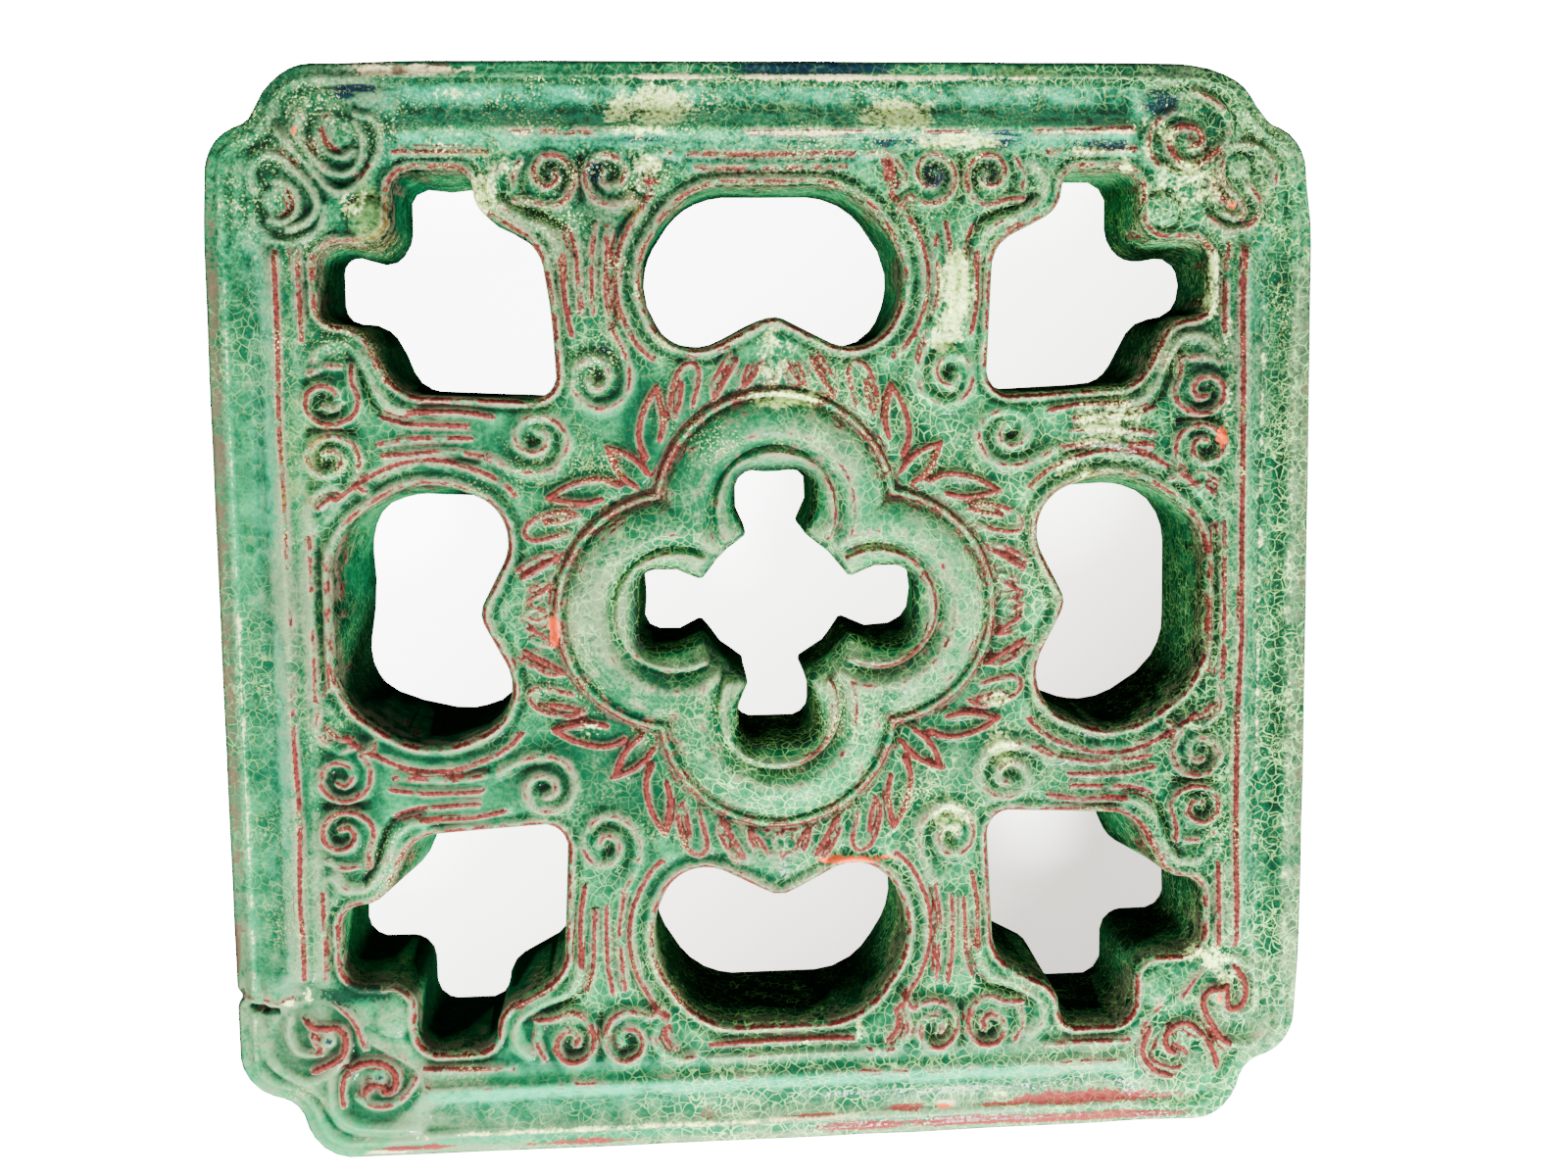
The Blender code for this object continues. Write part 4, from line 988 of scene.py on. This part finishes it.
def qualities_of(sheet, height, solid, mesh):
    """The qualities that the glaze reads, each an array with one number for each vertex."""
    x_tile, y_tile, z = (of_vertices(mesh, "co").astype(float) / MM).T
    normals = of_vertices(mesh, "normal")
    x, y = x_tile, unshift_middle(y_tile)
    across, up = moved(x, y, FACE_SHIFT)
    x, y = x - across, y - up

    # Where each vertex is: below the face, from the edge of the tile, the lobes and the nearest red line
    depth = sheet.sample(height, x, y) - z
    away = HALF - np.maximum(np.abs(x), np.abs(y))
    lobe = np.minimum(np.hypot(np.abs(x) - LOBE_CENTRE, y), np.hypot(x, np.abs(y) - LOBE_CENTRE))
    line_far = sheet.sample(np.abs(sheet.line), x, y)
    face = smoothstep(3.5, 1.2, depth)
    opening = smoothstep(3.0, 6.0, away)
    corner_zone = smoothstep(98.0, 104.0, np.minimum(np.abs(x), np.abs(y))) * smoothstep(30.0, 26.0, away)
    wall = np.maximum(smoothstep(0.2, 0.8, depth), smoothstep(1.6, 0.5, sheet.sample(solid, x, y)))

    # How much each vertex stands out from the face softened by a size in millimetres
    hollow = sheet.sample(height - sheet.soften(height, 2.2), x, y)
    broad = sheet.sample(height - sheet.soften(height, 7.0), x, y)
    crisp = sheet.sample(height - sheet.soften(height, 1.1), x, y)

    # Less pooled glaze beside the frame, the ring and the lip, and painted shade in the fine grooves and a
    # painted highlight on the fine crests, less of both at the lip
    beyond_lip = 1 - 0.75 * bead(lobe, 17.5, 3.5)
    eased = (1 - 0.8 * bead(away, 23.5, 2.2)) * (1 - 0.5 * bead(lobe, 30, 2.5))
    eased *= 0.35 + 0.65 * beyond_lip
    painted_relief_shade_and_highlight = (1.3 * np.clip(crisp, -0.45, 0) + 0.35 * np.clip(crisp, 0, 0.5)) * face * beyond_lip

    # Brighter below the top, except on the right, and a more broken glaze at the top and on the right
    right_side = smoothstep(40.0, 100.0, x) * smoothstep(-110.0, -50.0, y)
    bright = 1.12 + 0.36 * smoothstep(115.0, 60.0, y) * (1 - right_side)
    broken = 0.5 + 0.75 * np.maximum(smoothstep(60.0, 110.0, y), smoothstep(50.0, 110.0, x))
    broken -= 0.4 * smoothstep(-90.0, -120.0, y)

    # Haze, crackle and specks in their own regions, painted shade on the walls of the openings, and bare clay
    # low down
    haze = 0.06 + 0.16 * sheet.sample(sheet.mottle(8, 8.0), x, y) + 0.26 * bead(line_far, 0, 2.0)
    haze += 0.16 * corner_zone - 0.10 * smoothstep(90.0, 120.0, y) + 0.34 * oval(x, y, -125, -125, 26, 26)
    crackle = 0.18 + 0.17 * sheet.sample(sheet.mottle(6, 12.0), x, y) + 0.52 * smoothstep(-100.0, 100.0, x)
    crackle -= 0.10 * smoothstep(100.0, 130.0, y) + 0.25 * oval(x, y, -125, -125, 40, 40)
    specks = -0.1 + 0.12 * smoothstep(70.0, 110.0, y) + 0.5 * y / HALF
    specks += 0.5 * sheet.sample(sheet.mottle(7, 4.0), x, y)
    # Painted shade on the walls of the openings: darker further down, and darkest on walls that face +Y, away
    # from the lamps
    shade = smoothstep(0.6, 5.0, depth) * (0.40 + 0.60 * smoothstep(-0.1, 0.8, normals[:, 1])) * opening
    low_down = smoothstep(3.0, 0.5, z) * 0.6 * (1 - opening)
    line_red = sheet.sample(sheet.line_red, x, y) * (1 - marks(x_tile, y_tile, WORN_LINES))
    qualities = {
        "face": face,
        "wall": wall,
        "line": sheet.sample(sheet.line, x, y),
        "near": smoothstep(1.8, 1.1, line_far) * face,
        "line_red": line_red,
        # crest: pale haze on the raised relief, partly thin glaze and partly a painted highlight
        "crest": np.clip(hollow, 0, 1.5) * face * smoothstep(19.0, 22.0, away),
        "hollow": np.clip(-hollow * 0.9 - broad * 0.12, 0, 1.5) * face * eased,
        "cloud": 0.35 + 0.18 * sheet.sample(sheet.mottle(5, 14.0), x, y),
        "away": away,
        "haze": np.clip(haze, 0, 1) * face,
        "crackle": np.clip(crackle, 0.03, 1.0),
        "specks": np.clip(specks, 0, 1) * face * opening,
        "shade": shade,
        # bright: brighter below the top, times the painted shade and highlight of the fine relief
        "bright": bright * (1 + painted_relief_shade_and_highlight),
        "broken": broken,
        "bare": np.maximum(low_down, (normals[:, 2] < -0.5) * 0.9),
    }
    for name, spots_list in MARKS:
        qualities[name] = marks(x_tile, y_tile, spots_list) * face
    return qualities


def build_tile():
    """The tile as one closed mesh, thinned where it is flat, with its qualities as attributes."""
    sheet = Sheet()
    height, solid = face_of(sheet)
    places, triangles = trimmed(sheet, solid)
    tops = sheet.sample(height, *places.T)
    spots, levels, faces = walls_and_back(sheet, places, tops, triangles, solid)
    across, up = moved(*spots.T, FACE_SHIFT)
    points = np.c_[spots[:, 0] + across, shift_middle(spots[:, 1] + up), levels] * MM
    mesh = thinned(points, faces, held_points(sheet, height, spots, points, levels))
    for name, values in qualities_of(sheet, height, solid, mesh).items():
        layer = mesh.attributes.new(name, "FLOAT", "POINT")
        layer.data.foreach_set("value", values.astype(np.float32))
    mesh.shade_smooth()
    tile = bpy.data.objects.new("glazed_tile", mesh)
    bpy.context.scene.collection.objects.link(tile)
    return tile


class Nodes:
    """Short way to place and join shader nodes."""

    def __init__(self, material):
        self.tree = material.node_tree
        self.coordinates = self.add("ShaderNodeTexCoord").outputs["Object"]

    def join(self, node, inputs):
        """Join or set the inputs of a node."""
        for key, value in inputs.items():
            if isinstance(value, bpy.types.NodeSocket):
                self.tree.links.new(value, node.inputs[key])
            else:
                node.inputs[key].default_value = value

    def add(self, kind, inputs=None, **settings):
        """A node with its settings, its inputs joined or set."""
        node = self.tree.nodes.new(kind)
        for name, value in settings.items():
            setattr(node, name, value)
        self.join(node, inputs or {})
        return node

    def math(self, operation, *values, clamp=False):
        """One arithmetic step."""
        inputs = dict(enumerate(values))
        return self.add("ShaderNodeMath", inputs, operation=operation, use_clamp=clamp).outputs[0]

    def ramp(self, value, low, high, to_low=0.0, to_high=1.0):
        """Straight passage of a value from one range to another, held at its ends."""
        inputs = {"Value": value, "From Min": low, "From Max": high, "To Min": to_low, "To Max": to_high}
        return self.add("ShaderNodeMapRange", inputs).outputs[0]

    def noise(self, size, detail, roughness, offset):
        """Noise with features of a size in millimetres, from a place of its own."""
        inputs = {"Vector": self.coordinates, "Scale": (1 / MM / size,) * 3, "Location": (offset,) * 3}
        place = self.add("ShaderNodeMapping", inputs).outputs[0]
        inputs = {"Vector": place, "Scale": 1.0, "Detail": detail, "Roughness": roughness}
        return self.add("ShaderNodeTexNoise", inputs).outputs["Fac"]

    def attribute(self, name):
        """A quality stored on the mesh."""
        return self.add("ShaderNodeAttribute", attribute_name=name).outputs["Fac"]

    def mix(self, share, first, second):
        """Colour between two, by a share."""
        node = self.add("ShaderNodeMix", data_type="RGBA")
        self.join(node, {0: share, 6: first, 7: second})
        return node.outputs[2]


# Crackle: how far its cells are warped, in metres, and how many there are in a metre, large and small
CELL_WARP = 0.0022
CELLS = 370.0
SMALL_CELLS = 820.0


class Glaze(Nodes):
    """The nodes of the glaze, with the uneven patterns that its layers share."""

    def __init__(self, material):
        super().__init__(material)
        self.blotch = self.noise(5.0, 4.0, 0.65, offset=0.31)
        self.grain = self.noise(1.1, 2.0, 0.6, offset=7.7)
        warp = self.add("ShaderNodeTexNoise", {"Vector": self.coordinates, "Scale": 300.0, "Detail": 0.0})
        inputs = {0: warp.outputs["Color"], 1: (CELL_WARP,) * 3, 2: self.coordinates}
        self.bent = self.add("ShaderNodeVectorMath", inputs, operation="MULTIPLY_ADD").outputs[0]
        ragged = self.math("ADD", self.blotch, self.math("MULTIPLY", self.grain, 0.6))
        self.ragged = self.math("MULTIPLY_ADD", ragged, 1.5, -1.2)

    def cell_edges(self, scale):
        """Distance to the edge of the nearest warped cell."""
        inputs = {"Vector": self.bent, "Scale": scale}
        return self.add("ShaderNodeTexVoronoi", inputs, feature="DISTANCE_TO_EDGE").outputs["Distance"]


# Linear colours of the glaze, the clay and what lies on them
TEAL = (0.001, 0.43, 0.215, 1.0)
GREEN = (0.003, 0.088, 0.032, 1.0)
PALE = (0.012, 0.225, 0.080, 1.0)
DEEP_GREEN = (0.001, 0.055, 0.022, 1.0)
POOLED_AND_SHADED = (0.0010, 0.020, 0.008, 1.0)
HAZE = (0.14, 0.20, 0.10, 1.0)
LINE_RED = (0.115, 0.011, 0.011, 1.0)
LINE_DARK = (0.040, 0.005, 0.004, 1.0)
LINE_HAZE = (0.20, 0.155, 0.105, 1.0)
CRACKLE_PALE = (0.32, 0.70, 0.20, 1.0)
LIME_YELLOW = (0.44, 0.72, 0.11, 1.0)
LIME_AND_GLINT_WHITE = (0.80, 0.98, 0.40, 1.0)
PEPPER = (0.010, 0.025, 0.012, 1.0)
CLAY_DARK = (0.22, 0.085, 0.045, 1.0)
CLAY_PALE = (0.46, 0.27, 0.16, 1.0)

# Stains: name, colour, the levels between which it comes in, and how much it covers at most
STAINS = (
    ("deep", (0.0006, 0.022, 0.011, 1.0), 0.35, 0.75, 0.97),
    ("olive", (0.10, 0.17, 0.030, 1.0), 0.35, 0.95, 0.65),
    ("blue", (0.001, 0.012, 0.026, 1.0), 0.40, 0.70, 0.97),
    ("cream", (0.70, 0.60, 0.30, 1.0), 0.45, 0.70, 0.9),
    ("rose", (0.17, 0.016, 0.020, 1.0), 0.35, 0.60, 0.95),
    ("brown", (0.072, 0.042, 0.026, 1.0), 0.42, 0.72, 0.88),
    ("orange", (0.80, 0.085, 0.018, 1.0), 0.50, 0.62, 1.0),
)


def frame_bands(n):
    """Tone and haze across the frame, partly the glaze's own and partly painted light and shade, from a ramp
    for each side, and whether a place is on it.

    The ramps read the distance from the edge of the tile, as a share of BAND_REACH. The bands fade out
    towards the corners, in metres from the middle, and towards the openings.
    """
    away = n.attribute("away")
    share = n.math("DIVIDE", away, BAND_REACH)
    ramps = {}
    for name, knots in FRAME_TONES_AND_PAINTED_LIGHT.items():
        ramp = n.add("ShaderNodeValToRGB", {0: share})
        stops = ramp.color_ramp.elements
        while len(stops) < len(knots):
            stops.new(0.5)
        for stop, (distance, tone, veil) in zip(stops, knots):
            stop.position = distance / BAND_REACH
            stop.color = (tone * 0.5 + 0.5, veil, 0.0, 1.0)
        ramps[name] = ramp.outputs[0]
    split = n.add("ShaderNodeSeparateXYZ", {0: n.coordinates})
    across, along = n.math("ABSOLUTE", split.outputs[0]), n.math("ABSOLUTE", split.outputs[1])
    sides = n.mix(n.ramp(split.outputs[0], -0.001, 0.001), ramps["left"], ramps["right"])
    ends = n.mix(n.ramp(split.outputs[1], -0.001, 0.001), ramps["bottom"], ramps["top"])
    colour = n.mix(n.ramp(n.math("SUBTRACT", across, along), -0.0005, 0.0005), ends, sides)
    parts = n.add("ShaderNodeSeparateColor", {0: colour})
    clear_of_corners = n.ramp(n.math("MINIMUM", across, along), 0.112, 0.094)
    here = n.math("MULTIPLY", clear_of_corners, n.ramp(away, 30.5, 27.0))
    here = n.math("MULTIPLY", here, n.attribute("face"))
    return n.math("MULTIPLY_ADD", parts.outputs[0], 2.0, -1.0), parts.outputs[1], here


def glaze_body(n):
    """Body of the glaze: greens in clouds and cells; hazy on the raised parts, partly as a painted highlight;
    dark where it pools and where the frame's bands paint shade, and lighter where they paint light.
    """
    cloudy = n.math("MULTIPLY_ADD", n.grain, 0.55, n.math("ADD", n.attribute("cloud"), n.blotch))
    cells = n.add("ShaderNodeTexVoronoi", {"Vector": n.bent, "Scale": CELLS}).outputs["Color"]
    cells = n.add("ShaderNodeSeparateColor", {0: cells}).outputs[0]
    cloudy = n.math("MULTIPLY_ADD", n.math("SUBTRACT", cells, 0.5), 0.22, cloudy)
    base = n.mix(n.ramp(cloudy, 0.85, 1.40), GREEN, PALE)
    # The frame's bands: teal where the tone is high and dark where it is low, partly glaze and partly painted
    # light and shade
    tone, veil, on_frame = frame_bands(n)
    tone = n.math("MULTIPLY", tone, on_frame)
    light = n.math("MULTIPLY", n.math("MAXIMUM", tone, 0.0), n.ramp(n.blotch, 0.30, 0.55, 0.25, 1.0))
    base = n.mix(light, base, TEAL)
    # Haze on the crests: partly thin glaze and partly a painted highlight
    hazy = n.math("ADD", n.attribute("haze"), n.math("MULTIPLY", n.attribute("crest"), 0.45))
    hazy = n.math("MULTIPLY_ADD", n.math("SUBTRACT", veil, 0.1), on_frame, hazy)
    patchy = n.math("ADD", n.blotch, n.math("MULTIPLY", n.grain, 0.7))
    hazy = n.math("MULTIPLY_ADD", patchy, 1.6, n.math("SUBTRACT", hazy, 1.36))
    base = n.mix(n.ramp(hazy, 0.25, 0.75, 0.0, 0.8), base, HAZE)
    pool_and_painted_shade = n.math("MAXIMUM", n.attribute("hollow"), n.math("MULTIPLY", tone, -1.0))
    pool_and_painted_shade = n.math("MULTIPLY_ADD", n.blotch, -0.7, pool_and_painted_shade)
    base = n.mix(n.ramp(pool_and_painted_shade, -0.30, 0.15, 0.0, 0.92), base, DEEP_GREEN)
    return n.mix(n.ramp(pool_and_painted_shade, 0.20, 0.80, 0.0, 0.90), base, POOLED_AND_SHADED)


def with_red_lines(n, base):
    """Red clay showing along the crests, broken by wear, with a thin grey glaze beside it, and its share."""
    redness = n.attribute("line_red")
    from_line = n.math("ABSOLUTE", n.attribute("line"))
    beside = n.math("MULTIPLY_ADD", n.math("SUBTRACT", n.grain, 0.5), 0.9, from_line)
    shown = n.math("MULTIPLY_ADD", n.math("SUBTRACT", n.blotch, 0.5), 2.1, redness)
    shown = n.math("MULTIPLY", n.ramp(shown, 0.38, 0.62), n.ramp(n.attribute("near"), 0.40, 0.65))
    thin = n.math("MULTIPLY", n.ramp(beside, 1.9, 0.7, 0.0, 0.75), shown)
    base = n.mix(thin, base, LINE_HAZE)
    width = n.math("MULTIPLY_ADD", redness, 0.65, 0.14)
    core = n.math("MULTIPLY", n.ramp(n.math("SUBTRACT", width, beside), -0.12, 0.14, 0.0, 0.95), shown)
    return n.mix(core, base, n.mix(n.ramp(n.grain, 0.38, 0.55), LINE_DARK, LINE_RED)), core


def with_stains(n, base):
    """Coloured runs and stains in their own places, and the share of the strongest."""
    stained = 0.0
    for name, colour, low, high, most in STAINS:
        share = n.ramp(n.math("ADD", n.attribute(name), n.ragged), low, high, 0.0, most)
        base = n.mix(share, base, colour)
        stained = n.math("MAXIMUM", share, stained)
    return base, stained


def with_crackle(n, base, core, stained):
    """Pale lines between small cells, less on the red lines and the stains, and the share of the lines."""
    uneven = n.ramp(n.noise(7.0, 2.0, 0.6, offset=5.3), 0.34, 0.62, 0.25, 1.15)
    hair = n.ramp(n.cell_edges(SMALL_CELLS), 0.09, 0.02, 0.0, 0.55)
    hair = n.math("MULTIPLY", hair, n.ramp(n.blotch, 0.45, 0.60))
    lines = n.math("MAXIMUM", n.ramp(n.cell_edges(CELLS), 0.062, 0.014, 0.0, 1.25), hair)
    strength = n.math("MULTIPLY", n.attribute("crackle"), n.ramp(stained, 0.2, 0.9, 1.0, 0.12))
    lines = n.math("MULTIPLY", lines, strength)
    strength = n.math("MULTIPLY", uneven, n.ramp(core, 0.1, 0.6, 1.0, 0.0))
    lines = n.math("MULTIPLY", lines, strength, clamp=True)
    return n.mix(lines, base, CRACKLE_PALE), lines


def with_lime_and_glints(n, base):
    """Lime crusts with dark pepper, and painted glints, in their own places, lime specks all over, and the
    share of crusts, glints and specks.
    """
    fine = n.noise(0.7, 1.0, 0.5, offset=2.9)
    cluster = n.ramp(n.noise(10.0, 2.0, 0.6, offset=9.4), 0.42, 0.60, 0.15, 1.0)
    specks = n.math("MULTIPLY", n.ramp(fine, 0.58, 0.64), n.math("MULTIPLY", n.attribute("specks"), cluster))
    crust_and_glints = n.ramp(n.math("ADD", n.attribute("lime_and_glints"), n.ragged), 0.50, 0.80, 0.0, 0.97)
    white = n.math("MAXIMUM", specks, crust_and_glints)
    base = n.mix(white, base, n.mix(n.ramp(n.grain, 0.35, 0.62), LIME_YELLOW, LIME_AND_GLINT_WHITE))
    pepper = n.math("MULTIPLY", n.ramp(n.grain, 0.36, 0.30), crust_and_glints)
    return n.mix(pepper, base, PEPPER), white


def glaze_material():
    """Crackled green glaze, thin and red over the ridges, pooled and dark in the hollows, worn and limed,
    with painted light and shade on the frame, the fine relief and the walls, and painted glints.
    """
    material = bpy.data.materials.new("crackled_green_glaze")
    material.use_nodes = True
    n = Glaze(material)
    base, core = with_red_lines(n, glaze_body(n))
    base, stained = with_stains(n, base)
    base, lines = with_crackle(n, base, core, stained)
    base, white = with_lime_and_glints(n, base)

    # Uneven depth of glaze, brighter below the top, painted shade on the walls of the openings, and painted
    # shade and highlight on the fine relief
    left = n.math("MULTIPLY_ADD", n.attribute("shade"), n.ramp(lines, 0.3, 1.0, -0.965, -0.82), 1.0)
    flicker = n.math("MULTIPLY_ADD", n.math("SUBTRACT", n.grain, 0.5), 2.0, n.math("SUBTRACT", n.blotch, 0.5))
    lit = n.math("MULTIPLY_ADD", flicker, n.attribute("broken"), n.attribute("bright"))
    left = n.math("MULTIPLY", left, n.math("MAXIMUM", lit, 0.1))
    base = n.add("ShaderNodeVectorMath", {0: base, "Scale": left}, operation="SCALE").outputs[0]

    # Bare red clay low down and on the back
    bare = n.ramp(n.math("MULTIPLY_ADD", n.blotch, 0.8, n.attribute("bare")), 0.75, 0.95)
    clay = n.mix(n.ramp(n.blotch, 0.35, 0.65), CLAY_DARK, CLAY_PALE)
    base = n.mix(bare, base, clay)

    # Gloss: duller on lime and bare clay, and weak on the walls
    rough = n.math("MULTIPLY_ADD", white, 0.5, n.ramp(n.blotch, 0.3, 0.7, 0.07, 0.26))
    rough = n.math("MAXIMUM", rough, n.math("MULTIPLY", bare, 0.85), clamp=True)
    height = n.noise(2.2, 1.0, 0.6, offset=3.1)
    bump = n.add("ShaderNodeBump", {"Strength": 0.6, "Distance": 0.0003, "Height": height})
    gloss = n.math("MULTIPLY_ADD", n.attribute("wall"), -0.40, 1.40)
    n.join(n.tree.nodes["Principled BSDF"],
           {"Base Color": base, "Roughness": rough, "Normal": bump.outputs[0], "IOR": gloss})
    return material


# Half the side of the floor, and the lamps, all aimed at the tile: name, place, size and power
FLOOR_REACH = 3.0
AIM = (0, 0, 0.02)
LAMPS = (
    ("window", (0.30, -0.88, 0.84), 0.3, 60.0),
    ("side_fill", (-0.95, 0.05, 0.75), 0.6, 10.0),
    ("glint", (0.20, -0.95, 0.80), 0.12, 5.0),
)


def pale_floor():
    """Plain pale floor that glows evenly and brightly away from the tile; under the tile the glow carries
    painted shade, dimmer and warmer towards +X and -Y.
    """
    corners = np.array([(-1, -1, 0), (1, -1, 0), (1, 1, 0), (-1, 1, 0)], float) * FLOOR_REACH
    mesh = mesh_from_arrays("floor", corners, np.array([(0, 1, 2), (0, 2, 3)]))
    floor = bpy.data.objects.new("floor", mesh)
    bpy.context.scene.collection.objects.link(floor)
    material = bpy.data.materials.new("pale_floor")
    material.use_nodes = True
    n = Nodes(material)
    split = n.add("ShaderNodeSeparateXYZ", {0: n.coordinates})
    far = n.math("MAXIMUM", n.math("ABSOLUTE", split.outputs[0]), n.math("ABSOLUTE", split.outputs[1]))
    # Painted shade under the tile: the glow falls and warms from the top left to the bottom right
    slant = n.math("SUBTRACT", split.outputs[0], split.outputs[1])
    glow = n.math("ADD", n.ramp(slant, -0.12, 0.18, 9.0, 1.5), n.ramp(far, 0.140, 0.155, 0.0, 16.0))
    painted_shade_tint = n.mix(n.ramp(slant, -0.10, 0.16), (1.0, 1.0, 1.0, 1.0), (1.0, 0.93, 0.85, 1.0))
    n.join(n.tree.nodes["Principled BSDF"], {"Base Color": (0.92, 0.91, 0.89, 1.0), "Roughness": 0.6,
                                             "Emission Color": painted_shade_tint, "Emission Strength": glow})
    mesh.materials.append(material)
    floor.visible_diffuse = False
    floor.visible_glossy = False


def soft_light():
    """Even light from all round, a soft lamp in front, a weak one from the left and a small one for glints.

    The small lamp is the only one seen in the glaze.
    """
    world = bpy.data.worlds.new("surround")
    world.use_nodes = True
    world.node_tree.nodes["Background"].inputs["Color"].default_value = (0.95, 0.98, 1.0, 1.0)
    world.node_tree.nodes["Background"].inputs["Strength"].default_value = 0.45
    bpy.context.scene.world = world
    for name, place, size, power in LAMPS:
        light = bpy.data.lights.new(name, "AREA")
        light.size = size
        light.energy = power
        lamp = bpy.data.objects.new(name, light)
        lamp.location = place
        lamp.rotation_euler = (Vector(AIM) - Vector(place)).to_track_quat("-Z", "Y").to_euler()
        lamp.visible_glossy = name == "glint"
        bpy.context.scene.collection.objects.link(lamp)


def photograph_camera():
    """Camera found from the edges and the walls in the openings: turned by a rotation vector, then placed."""
    turn = Vector((0.10247950, 0.08390267, 0.01414124))
    rotation = Matrix.Rotation(turn.length, 3, turn.normalized())
    offset = Vector((-12.82268, -24.48934, -487.50648))
    place = -(rotation.transposed() @ offset) + Vector((0, 0, 42))
    data = bpy.data.cameras.new("camera")
    data.lens = 40.5
    data.sensor_width = 36.0
    data.shift_x = -0.025
    data.shift_y = -0.038125
    data.clip_start = 0.01
    camera = bpy.data.objects.new("camera", data)
    camera.matrix_world = Matrix.Translation(place * MM) @ rotation.transposed().to_4x4()
    bpy.context.scene.collection.objects.link(camera)
    bpy.context.scene.camera = camera


tile = build_tile()
tile.data.materials.clear()
tile.data.materials.append(glaze_material())
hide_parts("tile")
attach(tile, "root")
pale_floor()
soft_light()
photograph_camera()
